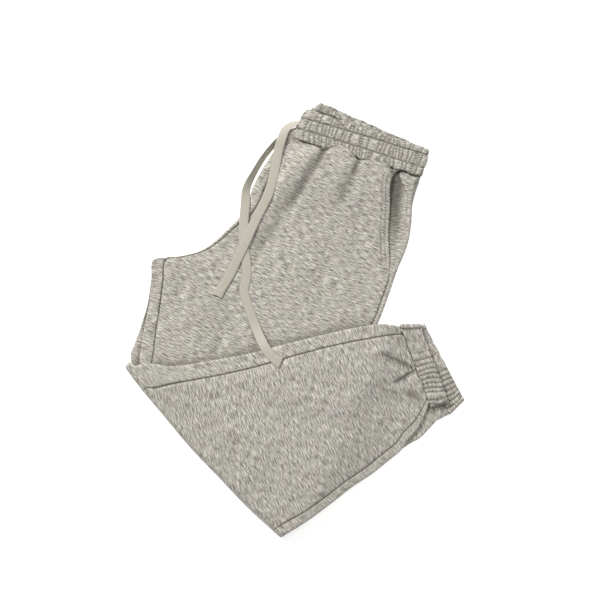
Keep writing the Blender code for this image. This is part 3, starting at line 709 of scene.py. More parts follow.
# %% Waist seam table
SeamPoint = namedtuple("SeamPoint", "across reach")
WAIST_SEAM = [
    SeamPoint(-10, 1), SeamPoint(6, 1), SeamPoint(14, 0), SeamPoint(37, -1.5),
    SeamPoint(46, -2), SeamPoint(54, 4.5), SeamPoint(61, 10.5), SeamPoint(71, 10),
    SeamPoint(83, 5.5), SeamPoint(91, -1), SeamPoint(95, -3), SeamPoint(105, -1),
    SeamPoint(114, 2.7), SeamPoint(126, 5.2), SeamPoint(138, 4.5), SeamPoint(146, -2.5),
    SeamPoint(163, 1), SeamPoint(167, -2), SeamPoint(190, 0),
]
WAIST_UP = np.array((0.28, 0.96))    # from the legs towards the waistband
SHOULDER = 15.0
BAND_TOP_FACE = 19.6     # the seam's height where a puff rolls over the band
SEAM_LEVEL = 15.0        # and between two puffs
ROLL = 11.0              # a puff rises to its full height over this much


def waist_reach(across):
    """How far the cloth reaches up over the waistband, along the seam."""
    return np.interp(across, [spot.across for spot in WAIST_SEAM],
                     [spot.reach for spot in WAIST_SEAM])


def shoulder(place, across):
    """How far the cloth stands up past the waistband's centre-front end."""
    along = smooth(place / 0.12) * (1 - smooth((place - 0.5) / 0.9))
    return SHOULDER * along * (1 - smooth((across - 5) / 9))


def on_legs(place, across, level, crown_share, lift):
    """A point of the pile across the thigh, from its level in the flat stack."""
    x, y = plan(LEGS, place, across)
    up = shoulder(place, across)
    height = level + crown_share * crown(place, across) + lift * waist_lift(place, across)
    return x + WAIST_UP[0] * up, y + WAIST_UP[1] * up, height


# %% [markdown]
# ## Left front
# The panel that faces up. It runs from the waistband to under the turned-up leg, between
# the centre front and inseam on one side and the pocket and side seam on the other.
# Its edges dip into the seams; the pocket's edge is turned and sewn twice.

# %% Left front surface
PUFF = 7.0               # height of the puffs below the elastic
PUFF_FROM = 22.0         # they are full down to here, and level out by PUFF_REACH
PUFF_REACH = 110.0
POCKET_FROM, POCKET_TO = 0.7, 7.3    # sections where the pocket opens and closes
POCKET_ROWS = (6, 12)    # how far in from the pocket's edge it is stitched
SEAM_DIP = 1.5
SEAM_DIP_WIDTH = 1.7


def left_front_sides(place):
    """Where the panel starts and ends on each section."""
    rise_gap = np.where(place <= CROTCH, 0.7, 0.0)
    left = read(LEGS, "inset_l", place) + read(LEGS, "seam_l", place) + rise_gap + GAP / 2
    right = (width_of(LEGS, place) - read(LEGS, "inset_r", place)
             - read(LEGS, "seam_r", place) - GAP / 2)
    return left, right


def left_front_point(place, across):
    """Points of the outer face, in mm, and the shade painted on it."""
    left, right = left_front_sides(place)
    x, y, height = on_legs(place, across, STACK, 1.0, 3.0)
    down = below_waist(x, y)
    reach = waist_reach(across) * (1 - smooth(down / 42))
    x = x + WAIST_UP[0] * reach
    y = y + WAIST_UP[1] * reach
    edges = smooth((across - 16) / 26) * smooth((width_of(LEGS, place) - across - 24) / 26)
    puff = PUFF * edges * (1 - smooth((down - PUFF_FROM) / (PUFF_REACH - PUFF_FROM)))
    height = height + puff - creased(x, y, THIGH_CREASES) + ripple(x, y)
    seam = SEAM_LEVEL + (BAND_TOP_FACE - SEAM_LEVEL) * smooth(waist_reach(across) / 3.5)
    rolled = 1 - (1 - np.clip((down + 1.0) / ROLL, 0, 1)) ** 2
    height = seam + (height - seam) * np.sqrt(np.clip(rolled, 0, 1))
    from_left = across - left
    from_right = right - across
    height = height - SEAM_DIP * np.exp(-(from_left / SEAM_DIP_WIDTH) ** 2)
    pocket = smooth((place - POCKET_FROM) / 0.3) * smooth((POCKET_TO - place) / 0.5)
    height = height - (SEAM_DIP - 0.9 * pocket) * np.exp(-(from_right / SEAM_DIP_WIDTH) ** 2)
    stitched = sum(np.exp(-((from_right - inward) / 1.1) ** 2) for inward in POCKET_ROWS)
    height = height - 0.75 * pocket * stitched
    height = height + 0.5 * pocket * smooth((14 - from_right) / 4)
    # Painted shade: darker in the creases, in a painted shadow under the turned-up leg, along
    # both seams, the pocket's stitch rows and the waist seam
    groove = np.maximum(0.6 * np.clip(creased(x, y, THIGH_CREASES) / 6, 0, 1),
                        0.42 * painted_shin_shadow(x, y))
    groove = np.maximum(groove, 0.32 * np.exp(-(from_left / 1.0) ** 2))
    groove = np.maximum(groove, (0.4 - 0.2 * pocket) * np.exp(-(from_right / 1.2) ** 2))
    groove = np.maximum(groove, 0.45 * pocket * np.minimum(stitched, 1))
    groove = np.maximum(groove, 0.5 * np.exp(-((down + 1 - np.clip(reach, -1, 0)) / 1.8) ** 2))
    return np.stack([x, y, height], -1), groove


# %% Left front piece
places = np.concatenate([even_places(table_points(LEGS), 0, 1.6, 1.6)[:-1],
                         even_places(table_points(LEGS), 1.6, LAST, 2.2)])
shares = 1 - np.cos(np.linspace(0, np.pi, 121))
shares = 0.35 * shares / 2 + 0.65 * np.linspace(0, 1, 121)
left, right = left_front_sides(places)
across = left[:, None] + (right - left)[:, None] * shares
grid_places = np.broadcast_to(places[:, None], across.shape)
points, groove = left_front_point(grid_places, across)
flat = flat_of(points[..., 0], points[..., 1])
left_front = cloth("left_front_panel", [turned_over(points, flat, groove)])
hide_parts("left_front")

# %% [markdown]
# ## Back panels
# Each back wraps the edges of its leg: a lip over the inseam, a rounded edge, the hidden
# back, the other edge and a lip up to the side seam. The grid has most of its columns in
# the lips and edges, which show, and few in the back, which doesn't.

# %% Back profile
LIP_BY_POCKET = 7.0      # width of the back's lip along the pocket's opening
LIP_AT_WAIST = 31.0      # and where it meets the waistband
LIP_FADE = 2.6           # sections from one to the other
CENTRE_BACK = 4.5        # where the seat's seam lies, in from the rise


def back_profile(shares, width, inset_l, inset_r, lip_l, lip_r, open_left):
    """Across and depth of the outer face, from the left lip round to the right one."""
    marks = np.array((0, 0.2, 0.34, 0.66, 0.8, 1.0))
    part = np.interp(shares, marks, np.arange(6))
    left, right = inset_l, width - inset_r
    lip = left + lip_l - GAP / 2 + (EDGE - lip_l + GAP / 2) * np.clip(part, 0, 1)
    turn = np.pi / 2 + np.pi * np.clip(part - 1, 0, 1)
    across = np.where(part < 1, lip, left + EDGE + EDGE * np.cos(turn))
    depth = np.where(part < 1, 0.0, EDGE - EDGE * np.sin(turn))
    hidden = np.clip(part - 2, 0, 1)
    across = np.where(part > 2, left + EDGE + (right - left - 2 * EDGE) * hidden, across)
    tucked = CENTRE_BACK + 1.0 * part
    flat_part = CENTRE_BACK + 2 + (right - EDGE - CENTRE_BACK - 2) * hidden
    across = np.where(open_left, np.where(part < 2, tucked, flat_part), across)
    depth = np.where(open_left | (part > 2), LEG, depth)
    turn = 3 * np.pi / 2 + np.pi * np.clip(part - 3, 0, 1)
    across = np.where(part > 3, right - EDGE + EDGE * np.cos(turn), across)
    depth = np.where(part > 3, EDGE - EDGE * np.sin(turn), depth)
    lip = right - EDGE + (EDGE - lip_r + GAP / 2) * np.clip(part - 4, 0, 1)
    across = np.where(part > 4, lip, across)
    depth = np.where(part > 4, 0.0, depth)
    return across, depth


def lip_columns():
    """Columns of a back panel's grid."""
    return np.concatenate([np.linspace(0, 0.34, 17)[:-1], np.linspace(0.34, 0.66, 22),
                           np.linspace(0.66, 1.0, 21)[1:]])


def lip_seams(across, depth, left, right, lip_l, lip_r):
    """1 where a back panel's lip meets its seam, fading away from it."""
    on_top = 1 - smooth(depth / 1.5)
    to_left_seam = left + lip_l - across
    to_right_seam = across - (right - lip_r)
    return on_top * (np.exp(-(to_left_seam / 1.5) ** 2) + np.exp(-(to_right_seam / 1.5) ** 2))


def leg_back(place, shares, level, left_leg):
    """A back panel on the flat stretch of the legs."""
    inset_l = read(LEGS, "inset_l", place) if left_leg else 0 * place
    inset_r = read(LEGS, "inset_r", place) if left_leg else 0 * place
    lip_l = read(LEGS, "seam_l" if left_leg else "under", place)
    lip_l = np.maximum(lip_l, EDGE + 0.5)
    lip_r = LIP_BY_POCKET + (LIP_AT_WAIST - LIP_BY_POCKET) * (1 - smooth(place / LIP_FADE))
    lip_r = np.where(place <= CROTCH, lip_r, read(LEGS, "seam_r", place))
    width = width_of(LEGS, place)
    across, depth = back_profile(shares, width, inset_l, inset_r, lip_l, lip_r,
                                 place < CROTCH)
    crown_share, lift = (0.5, 3.0) if left_leg else (0.3, 1.2)
    x, y, height = on_legs(place, across, level - depth if left_leg else depth,
                           crown_share, lift)
    seams = lip_seams(across, depth, inset_l, width - inset_r, lip_l, lip_r)
    if left_leg:
        height = height - 1.3 * seams + ripple(x, y) * (depth < 1)
    else:
        # Painted shade on the strip of the right leg that shows past the left leg's edge, which
        # shades it
        bared = read(LEGS, "inset_l", place) - 6
        seams = np.maximum(seams, (bared > -5) * (depth > EDGE) * smooth((across - bared) / 5))
    tall = 14 * (1 - across / width) * smooth((across - 12) / 12) * smooth(1 - 4 * place)
    round_edge = EDGE * np.arccos(np.clip(1 - depth / EDGE, -1, 1))
    flat = np.stack([across + round_edge, below_waist(x, y) + BACK_FLAT], -1)
    points = np.stack([x + WAIST_UP[0] * tall, y + WAIST_UP[1] * tall, height], -1)
    # The third grid is painted shade along the lips' seams, stronger on the right leg
    return points, flat, np.where(left_leg, 0.3, 0.7) * seams


# %% Left back piece
columns = lip_columns()
back_places = np.concatenate([even_places(table_points(LEGS), 0, CROTCH, 3.0),
                              even_places(table_points(LEGS), CROTCH, LAST, 3.0)[1:]])
grid_places, grid_shares = np.meshgrid(back_places, columns, indexing="ij")
left_back = cloth("left_back_panel", [leg_back(grid_places, grid_shares, STACK, True)])
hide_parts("left_back")

# %% [markdown]
# ## Right leg
# Its front lies on the table, turns up round the knee and ends on top of the pile. At
# the knee both of its panels bend round the left leg's two layers in a soft half-round.

# %% Knee and shin
FOLD_ROWS = 25


def in_fold(angle, across, depth):
    """A point of the right leg where it turns round the knee."""
    x, y = plan(LEGS, LEGS.index(CREASE), across)
    reach = (FOLD_REACH - depth) * np.cos(angle)
    half = FOLD_HEIGHT / 2
    reach = reach + 0.5 * np.sin(across / 19) * np.cos(angle)
    height = half + (half - depth) * np.sin(angle) + 0 * x
    return np.stack([x + FOLD_OUT[0] * reach, y + FOLD_OUT[1] * reach, height], -1)


def rest(x, y):
    """What the turned-up legs lie on: the thigh, then down to the table beside it."""
    (x0, y0), (x1, y1) = THIGH_EDGE
    outside = ((x - x0) * (y0 - y1) + (y - y0) * (x1 - x0)) / np.hypot(x1 - x0, y1 - y0)
    return REST * (1 - smooth((outside - DROP_START) / DROP))


def on_shin(place, across, depth):
    """A point of the turned-up right leg, so deep under its top face."""
    x, y = plan(SHINS, place, across)
    margin = np.minimum(across, width_of(SHINS, place) - across)
    ends = smooth((place + 0.4) / 3) * smooth((KNEE_END + 0.6 - place) / 2)
    height = rest(x, y) + UPPER - depth + CROWN * smooth((margin - 5) / 45) * ends
    on_top = (depth < 1.0) * smooth((margin - 1) / 10)
    height = height - on_top * (creased(x, y, SHIN_CREASES) - ripple(x + 40, y - 70))
    return np.stack([x, y, height], -1)


def shin_flat(points, turn=KNEE_CLOTH):
    """Flat cloth place of points on the turned-up leg."""
    x, y = mirrored(points[..., 0], points[..., 1])
    return flat_of(x, y, turn)


# %% Right front piece
def right_front_rows(spans):
    """Grids of points for the bottom, the knee and the shin, in one sheet."""
    shares = np.linspace(0, 1, spans + 1)
    low = np.concatenate([even_places(table_points(LEGS), 0, CROTCH, 5.0),
                          even_places(table_points(LEGS), CROTCH, LAST + 1, 5.0)[1:]])
    left = np.where(low <= CROTCH, STACK / 2, read(LEGS, "under", low))
    right = width_of(LEGS, low) - read(LEGS, "seam_r", low)
    across = right[:, None] + (left - right)[:, None] * shares
    place = np.broadcast_to(low[:, None], across.shape)
    x, y, height = on_legs(place, across, 0.0 * across, 0, 0)
    bottom = np.stack([x, y, height], -1)
    angles = np.radians(np.linspace(-90, 90, FOLD_ROWS))[1:-1]
    right = width_of(LEGS, np.array(LAST + 1.0)) - CREASE.seam_r
    across = np.broadcast_to(right + (CREASE.under - right) * shares,
                             (len(angles), spans + 1))
    knee = in_fold(angles[:, None], across, 0.0)
    turns = (np.degrees(angles) + 90) / 180 * KNEE_CLOTH
    high = even_places(table_points(SHINS), 0, KNEE_END, 2.0)
    left = read(SHINS, "seam_l", high)
    right = width_of(SHINS, high) - read(SHINS, "seam_r", high)
    across = right[:, None] + (left - right)[:, None] * shares
    shin = on_shin(high[:, None], across, 0.0)
    # seams is shade painted along both seams of the shin and in its creases
    seams = np.zeros(across.shape)
    for edge in (across - left[:, None], right[:, None] - across):
        shin[..., 2] -= 1.3 * np.exp(-(edge / 1.6) ** 2)
        seams = np.maximum(seams, 0.45 * np.exp(-(edge / 1.2) ** 2))
    depth_and_shade = np.clip(creased(shin[..., 0], shin[..., 1], SHIN_CREASES) / 3, 0, 1)
    seams = np.maximum(seams, 0.55 * depth_and_shade ** 1.4)
    groove = np.concatenate([np.zeros(bottom.shape[:2]), np.zeros(knee.shape[:2]), seams])
    crease_x, crease_y = plan(LEGS, float(LAST + 1), right[0] + (left[0] - right[0]) * shares)
    knee_flat = flat_of(crease_x, crease_y, turns[:, None])
    flat = np.concatenate([flat_of(bottom[..., 0], bottom[..., 1]), knee_flat,
                           shin_flat(shin)])
    return np.concatenate([bottom, knee, shin]), flat, groove


def rise_wrap():
    """The right front where it turns up round the rise, to the centre-front seam."""
    place = even_places(table_points(LEGS), 0, CROTCH, 2.2)[:, None]
    part = np.linspace(0, 2, 33)[None]
    lip = read(LEGS, "seam_l", place) - GAP / 2
    half = STACK / 2
    turn = np.pi * np.clip(part, 0, 1)
    across = half - half * np.sin(turn) + (lip - half) * np.clip(part - 1, 0, 1)
    level = half - half * np.cos(turn)
    x, y, height = on_legs(place + 0 * part, across, level, 0.4, 1.0)
    on_top = smooth((level - half) / half)
    dip = 1.5 * on_top * np.exp(-((lip - across) / 1.8) ** 2)
    puffed = 2.0 * on_top * shoulder(place, across) / SHOULDER
    points = np.stack([x, y, height - dip + puffed], -1)
    unrolled = np.where(part < 1, half * turn, half * np.pi + across - half)
    flat = np.stack([unrolled, below_waist(x, y) + RISE_FLAT + 0 * part], -1)
    # The third grid is shade painted along the centre-front seam
    return points, flat, 0.3 * on_top * np.exp(-((lip - across) / 1.2) ** 2)


right_front = cloth("right_front_panel", [turned_over(*right_front_rows(120)),
                                          turned_over(*rise_wrap())])
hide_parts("right_front")

# %% Right back piece
def right_back_rows():
    """The right back: under the left leg, round the knee and its lips on the shin."""
    low = np.concatenate([even_places(table_points(LEGS), 0, CROTCH, 3.0),
                          even_places(table_points(LEGS), CROTCH, LAST + 1, 3.0)[1:]])
    place, shares = np.meshgrid(low, columns, indexing="ij")
    bottom, bottom_flat, bottom_seams = leg_back(place, shares, 0.0, False)
    angles = np.radians(np.linspace(-90, 90, FOLD_ROWS))[1:-1]
    width = width_of(LEGS, np.array(LAST + 1.0))
    across, depth = back_profile(columns, width, 0, 0, CREASE.under, CREASE.seam_r, False)
    knee = in_fold(angles[:, None], across[None], depth[None])
    turns = (np.degrees(angles) + 90) / 180 * KNEE_CLOTH
    knee_flat = np.stack([np.broadcast_to(across, knee.shape[:2]),
                          np.broadcast_to(turns[:, None] + KNEE_FLAT, knee.shape[:2])], -1)
    high = even_places(table_points(SHINS), 0, KNEE_END, 2.0)
    place, shares = np.meshgrid(high, columns, indexing="ij")
    width = width_of(SHINS, place)
    lip_l, lip_r = read(SHINS, "seam_l", place), read(SHINS, "seam_r", place)
    across, depth = back_profile(shares, width, 0, 0, lip_l, lip_r, False)
    shin = on_shin(place, across, depth)
    seams = lip_seams(across, depth, 0, width, lip_l, lip_r)
    shin[..., 2] -= 1.3 * seams
    round_edge = EDGE * np.arccos(np.clip(1 - depth / EDGE, -1, 1))
    shin_cloth = np.stack([across + round_edge, place * SHIN_PITCH + SHIN_FLAT], -1)
    # Painted shade along the lips' seams, on the flat stretch and on the shin
    groove = np.concatenate([bottom_seams, np.zeros(knee.shape[:2]), 0.45 * seams])
    return (np.concatenate([bottom, knee, shin]),
            np.concatenate([bottom_flat, knee_flat, shin_cloth]), groove)


right_back = cloth("right_back_panel", [turned_over(*right_back_rows())])
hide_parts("right_back")

# %% [markdown]
# ## The left leg inside the fold
# Below the knee the left leg's two layers lie folded inside the right leg. Only their
# edges show, and a strip at the cuff, so they share one rounded solid with a groove.

# %% Left shin piece
# Rounds of the solid inside the knee: how far out each of its ends is, and its heights
Core = namedtuple("Core", "out_l out_r bottom top bow")
KNEE_CORE = [
    Core(4.2, 4.2, 11.5, 14.8, 8),
    Core(2.8, 2.8, 8.6, 17.7, 8),
    Core(0, 0, 6.4, 19.9, 8),
    Core(-5.5, -16.5, 6.4, 19.9, 7),
    Core(-6.0, -17.0, REST, REST + INNER_LEG, 7),
]
CORE_INSET = (14, 4)
MIDDLE_REACH = 6.0       # the top and the underside start this far in from the edges
MIDDLE_COUNT = 44
# The edge of two layers, from the top down: how far in, and the share of the height
Corner = namedtuple("Corner", "inward height")
LAYERED_EDGE = [
    Corner(3.0, 1.0), Corner(1.2, 0.95), Corner(0.3, 0.84), Corner(0.0, 0.74),
    Corner(0.2, 0.62), Corner(1.6, 0.52), Corner(1.6, 0.48), Corner(0.2, 0.38),
    Corner(0.0, 0.26), Corner(0.3, 0.16), Corner(1.2, 0.05), Corner(3.0, 0.0),
]


def layered_ring(line, bottom, top, first, last):
    """Two thicknesses of cloth, all round: the top, an edge, the underside, an edge."""
    width = np.hypot(line.rx - line.lx, line.ry - line.ly)
    middles = np.linspace(first + MIDDLE_REACH, last - MIDDLE_REACH, MIDDLE_COUNT)
    edge = np.array(LAYERED_EDGE)
    across = np.concatenate([middles, last - edge[:, 0], middles[::-1], first + edge[::-1, 0]])
    share = np.concatenate([np.ones(MIDDLE_COUNT), edge[:, 1],
                            np.zeros(MIDDLE_COUNT), edge[::-1, 1]])
    part = across / width
    bow = 4 * part * (1 - part) * line.bow
    x = line.lx + (line.rx - line.lx) * part + FOLD_OUT[0] * bow
    y = line.ly + (line.ry - line.ly) * part + FOLD_OUT[1] * bow
    low = rest(x, y) if bottom is None else bottom
    high = low + INNER_LEG if top is None else top
    return np.stack([x, y, low + (high - low) * share], -1)


def left_shin_rows():
    """Rings of points from the knee core to the left cuff."""
    rings = []
    along = np.array((CREASE.rx - CREASE.lx, CREASE.ry - CREASE.ly), float)
    along /= np.hypot(*along)
    for core in KNEE_CORE:
        start = (CREASE.lx, CREASE.ly) + FOLD_OUT * core.out_l + along * CORE_INSET[0]
        end = (CREASE.rx, CREASE.ry) + FOLD_OUT * core.out_r - along * CORE_INSET[1]
        line = Turned(*start, *end, core.bow, 0, 0, 0, 0)
        rings.append(layered_ring(line, core.bottom, core.top, 0, np.hypot(*(end - start))))
    for place in even_places(table_points(SHINS), 0, KNEE_END, 8.0):
        values = [float(read(SHINS, name, place)) for name in Turned._fields]
        line = Turned(*values)
        width = float(width_of(SHINS, place))
        rings.append(layered_ring(line, None, None, line.inner_l, width - line.inner_r))
    width = np.hypot(INNER_END.rx - INNER_END.lx, INNER_END.ry - INNER_END.ly)
    rings.append(layered_ring(INNER_END, None, None, 0, width))
    return np.array(rings)


rings = left_shin_rows()
rings = np.concatenate([rings, rings[:, :1]], 1)
shape = bmesh.new()
add_sheet(shape, rings, shin_flat(rings, 90.0))
bmesh.ops.remove_doubles(shape, verts=shape.verts, dist=SEWN * MM)
bmesh.ops.holes_fill(shape, edges=[e for e in shape.edges if e.is_boundary], sides=0)
bmesh.ops.recalc_face_normals(shape, faces=shape.faces)
left_shin = finish_piece(shape, "left_shin_layers", fleece)
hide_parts("folded_layers")

# %% [markdown]
# ## Waistband
# A loop of doubled fleece with wide elastic inside, sewn through in two rows, so it
# shirrs into three bands of small upright pillows between tight, uneven valleys. Folded
# flat and then in half, the loop lies in four thicknesses; its back half stands higher.

# %% Gathers
# VALLEY_WIDTH and ROW_WIDTH are the widths of the shade painted into the valleys and along the
# stitch rows
VALLEY_WIDTH = 1.1
ROW_WIDTH = 1.25         # of the dark line that a row of stitches pulls in
BAND_HEIGHT = 48.0


def valleys(start, stop, spacing, spread, seed):
    """Uneven places of the valleys between pillows."""
    chance = np.random.default_rng(seed)
    steps = spacing * np.exp(chance.normal(0, spread, int(2.5 * (stop - start) / spacing)))
    found = start + np.cumsum(steps)
    return np.concatenate([[start - spacing], found[found < stop + spacing]])


def pillows(across, lines, sharp):
    """Height between valleys, 0 to 1, and how near the valley is, 1 at its bottom."""
    after = np.clip(np.searchsorted(lines, across), 1, len(lines) - 1)
    before = lines[after - 1]
    gap = lines[after] - before
    share = np.clip((across - before) / gap, 0, 1)
    near = np.minimum(share, 1 - share) * gap
    height = (4 * share * (1 - share)) ** sharp * np.clip(gap / 8.0, 0.35, 1.15)
    return height, np.exp(-(near / VALLEY_WIDTH) ** 2)


# %% Waistband path
BAND_WALL = 3.6          # two layers of fleece with the elastic between them
BAND_CLOTH = BAND_WALL - 0.6
SHIRRED = 1.2            # how far the shirred cloth stands off that wall
FLAT_UNDERSIDE = 0.2     # lowest point above the table: what rests on it is flat
BAND_PITCH = 4.2         # from one thickness of the folded band to the next
BACK_RISE = 17.5         # how much higher the back half stands at the centre front
BAND_BULGE = 6.5         # and how far its folded end swells out
TURN_STEP = 1.1
BAND_TOP = np.array(((19, 304), (194, 246)), float)
BAND_BOTTOM = np.array(((4, 259.7), (183, 207.6)), float)
BAND_WIDTH = float(np.hypot(*(BAND_BOTTOM[1] - BAND_BOTTOM[0])))


def band_path(step):
    """The folded loop in cross-section: across, level, outward normal and is it back."""
    small, large = BAND_PITCH / 2, BAND_PITCH * 1.5
    levels = [BAND_WALL / 2 + BAND_PITCH * k for k in range(4)]
    centre = large + BAND_WALL / 2
    middle = levels[0] + large
    right = BAND_WIDTH - small - BAND_WALL / 2
    path = []

    def straight(level, start, stop, normal, spacing):
        """One thickness of the band, from one fold to the next."""
        for across in np.linspace(start, stop, int(abs(stop - start) / spacing) + 1)[:-1]:
            path.append((across, level, 0.0, normal, BAND_PITCH < level < 3 * BAND_PITCH))

    def turn(x, z, radius, start, stop, side, back):
        """A fold; side is 1 where the band's outside is on the outside of the fold."""
        count = max(5, int(radius * abs(np.radians(stop - start)) / TURN_STEP))
        for angle in np.radians(np.linspace(start, stop, count + 1)[:-1]):
            c, s = np.cos(angle), np.sin(angle)
            path.append((x + radius * c, z + radius * s, side * c, side * s, back))

    straight(levels[0], centre, right, -1, 2 * step)
    turn(right, levels[0] + small, small, -90, 90, 1, False)
    straight(levels[1], right, centre, 1, 4 * step)
    turn(centre, middle, small, 270, 90, -1, True)
    straight(levels[2], centre, right, -1, 1.3 * step)
    turn(right, levels[2] + small, small, -90, 90, 1, False)
    straight(levels[3], right, centre, 1, step)
    turn(centre, middle, large, 90, 270, 1, False)
    return np.array(path, float)


# %% Waistband surface
# Heights of the band's edges and its two stitch rows, at its left and its right end
ROWS_LEFT = np.array((0.0, 0.375, 0.72, 1.0))
ROWS_RIGHT = np.array((0.0, 0.30, 0.78, 1.0))
BAND_ROUND = 820         # a little more than the length of the band
CHANNEL_GATHERS = [
    valleys(-30, BAND_ROUND, 5.0, 0.40, 11),
    valleys(-30, BAND_ROUND, 6.2, 0.50, 5),
    valleys(-30, BAND_ROUND, 6.0, 0.50, 23),
]
GATHER_DEPTH = 1.8
# Painted shade in the stitch rows, along the band's edges and in the valleys between pillows
ROW_SHADE, EDGE_SHADE, VALLEY_SHADE = 0.8, 0.1, 0.6


def row_heights(slope):
    """Heights of the edges and the stitch rows, at shares of the way along the band."""
    return ROWS_LEFT[:, None] + (ROWS_RIGHT - ROWS_LEFT)[:, None] * slope


def band_relief(around, height, slope):
    """How far the shirred cloth stands off the band's plain face, and the shade painted into its
    valleys and stitch rows.
    """
    relief = np.zeros(height.shape)
    groove = np.zeros(height.shape)
    rows = row_heights(slope)
    for number, (low, high) in enumerate(zip(rows, rows[1:])):
        share = (height - low) / (high - low)
        inside = (share > -1e-6) & (share < 1 + 1e-6)
        arch = np.clip(4 * share * (1 - share), 0, 1) ** 0.35
        sway = 0.8 * np.sin(share * 3.1 + around / 9) + 0.5 * np.sin(around / 5 + 3 * number)
        folds, near = pillows(around + sway, CHANNEL_GATHERS[number], 0.8)
        relief = np.where(inside, arch * (0.5 + GATHER_DEPTH * folds), relief)
        from_row = np.minimum(share, 1 - share) * (high - low) * BAND_HEIGHT
        at_edge = (height < 0.02) | (height > 0.98)
        row = np.where(at_edge, EDGE_SHADE, ROW_SHADE) * np.exp(-(from_row / ROW_WIDTH) ** 2)
        groove = np.where(inside, np.maximum(VALLEY_SHADE * near, row), groove)
    return relief - 0.6, groove


def band_point(path, height, offset):
    """Points of the waistband's face at a share of its height."""
    across, level, nx, nz, back = path.T
    steps = np.hypot(np.diff(across, append=across[0]), np.diff(level, append=level[0]))
    around = np.concatenate([[0], np.cumsum(steps)[:-1]])[None]
    relief, groove = band_relief(around, height, across / BAND_WIDTH)
    out = offset + relief
    share = (across[None] + nx * out) / BAND_WIDTH
    ends = 4 * height * (1 - height)
    bottom = BAND_BOTTOM[0] + (BAND_BOTTOM[1] - BAND_BOTTOM[0]) * share[..., None]
    top = BAND_TOP[0] + (BAND_TOP[1] - BAND_TOP[0]) * share[..., None]
    up = (top - bottom) / np.linalg.norm(top - bottom, axis=-1)[..., None]
    spot = bottom + (top - bottom) * height[..., None]
    spot[..., 0] -= BAND_BULGE * ends * np.maximum(1 - share, 0) ** 4
    corner = smooth(0.45 + (across - 8) / 14)
    raised = BACK_RISE * (1 - across / BAND_WIDTH) * back * corner
    dip = np.minimum(waist_reach(across), 0) * (1 - smooth(height / 0.3)) * (level > 10)
    spot = spot + up * (raised + dip)[..., None]
    wavy = 0.9 * np.sin(around / 13) * np.sin(around / 5.3 + 1) * smooth((height - 0.7) / 0.3)
    spot = spot + up * wavy[..., None]
    rolled = 0.9 * (1 - np.sqrt(np.clip(1 - (2 * height - 1) ** 8, 0, 1)))
    z = np.maximum(level + nz * (out - rolled), FLAT_UNDERSIDE)
    return np.concatenate([spot, z[..., None]], -1), around + 0 * height, groove


# %% Waistband piece
GATHERED = 1.35          # flat length of the strip for each length of the band
STRIP_WIDTH = 52.0

path = band_path(0.85)
rows = row_heights(path[:, 0] / BAND_WIDTH)
steps = np.linspace(0, 1, 16)[:-1, None]
heights = np.concatenate([low + (high - low) * steps for low, high in zip(rows, rows[1:])])
heights = np.concatenate([heights, rows[-1:]])
points, around, groove = band_point(path, heights, BAND_WALL / 2 + SHIRRED)
flat = np.stack([around * GATHERED, heights * STRIP_WIDTH], -1)
points = np.concatenate([points, points[:, :1]], 1)
flat = np.concatenate([flat, flat[:, -1:] + (2.0, 0.0)], 1)
groove = np.concatenate([groove, groove[:, :1]], 1)
waistband = cloth("shirred_waistband", [turned_over(points, flat, groove)], wall=BAND_CLOTH)
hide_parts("waistband")

# %% [markdown]
# ## Cuffs
# Short elastic bands of doubled fleece. The elastic draws them in along part of their
# length only, where it lies tight, so each cuff is smooth at one end and ridged at the
# other. The right cuff lies over the left one, which sticks out past it.

# %% Cuff shape
CUFF_THICK = 6.6
CUFF_WALL = 2.2
CUFF_ROWS = 22
CUFF_RUN = 80            # columns across each face
CUFF_LONG = 113.0        # the tight stretch's usual length, for the pillows' sizes
CUFF_STRIP = 30.0
# Ends of the seam and of the hem on the table top, and the height above what it rests on
CuffLine = namedtuple("CuffLine", "seam_from seam_to hem_from hem_to height")
RIGHT_CUFF = CuffLine((151.6, -9), (197, -127), (181, -8), (223, -120), 7.9)
LEFT_CUFF = CuffLine((157.2, -16.2), (225, -138), (189, -9), (246, -117), 0.0)
# Places of the valleys, as shares of the cuff's width; the first and the last are outside
RIGHT_VALLEYS = (-9, 0.2, 0.34, 0.43, 0.5, 0.565, 0.62, 0.68, 0.735, 0.79, 0.84,
                 0.93, 0.975, 9)
LEFT_VALLEYS = (-9, 0.2, 0.28, 0.37, 0.585, 0.64, 0.69, 0.745, 0.8, 0.85, 0.9,
                0.95, 9)


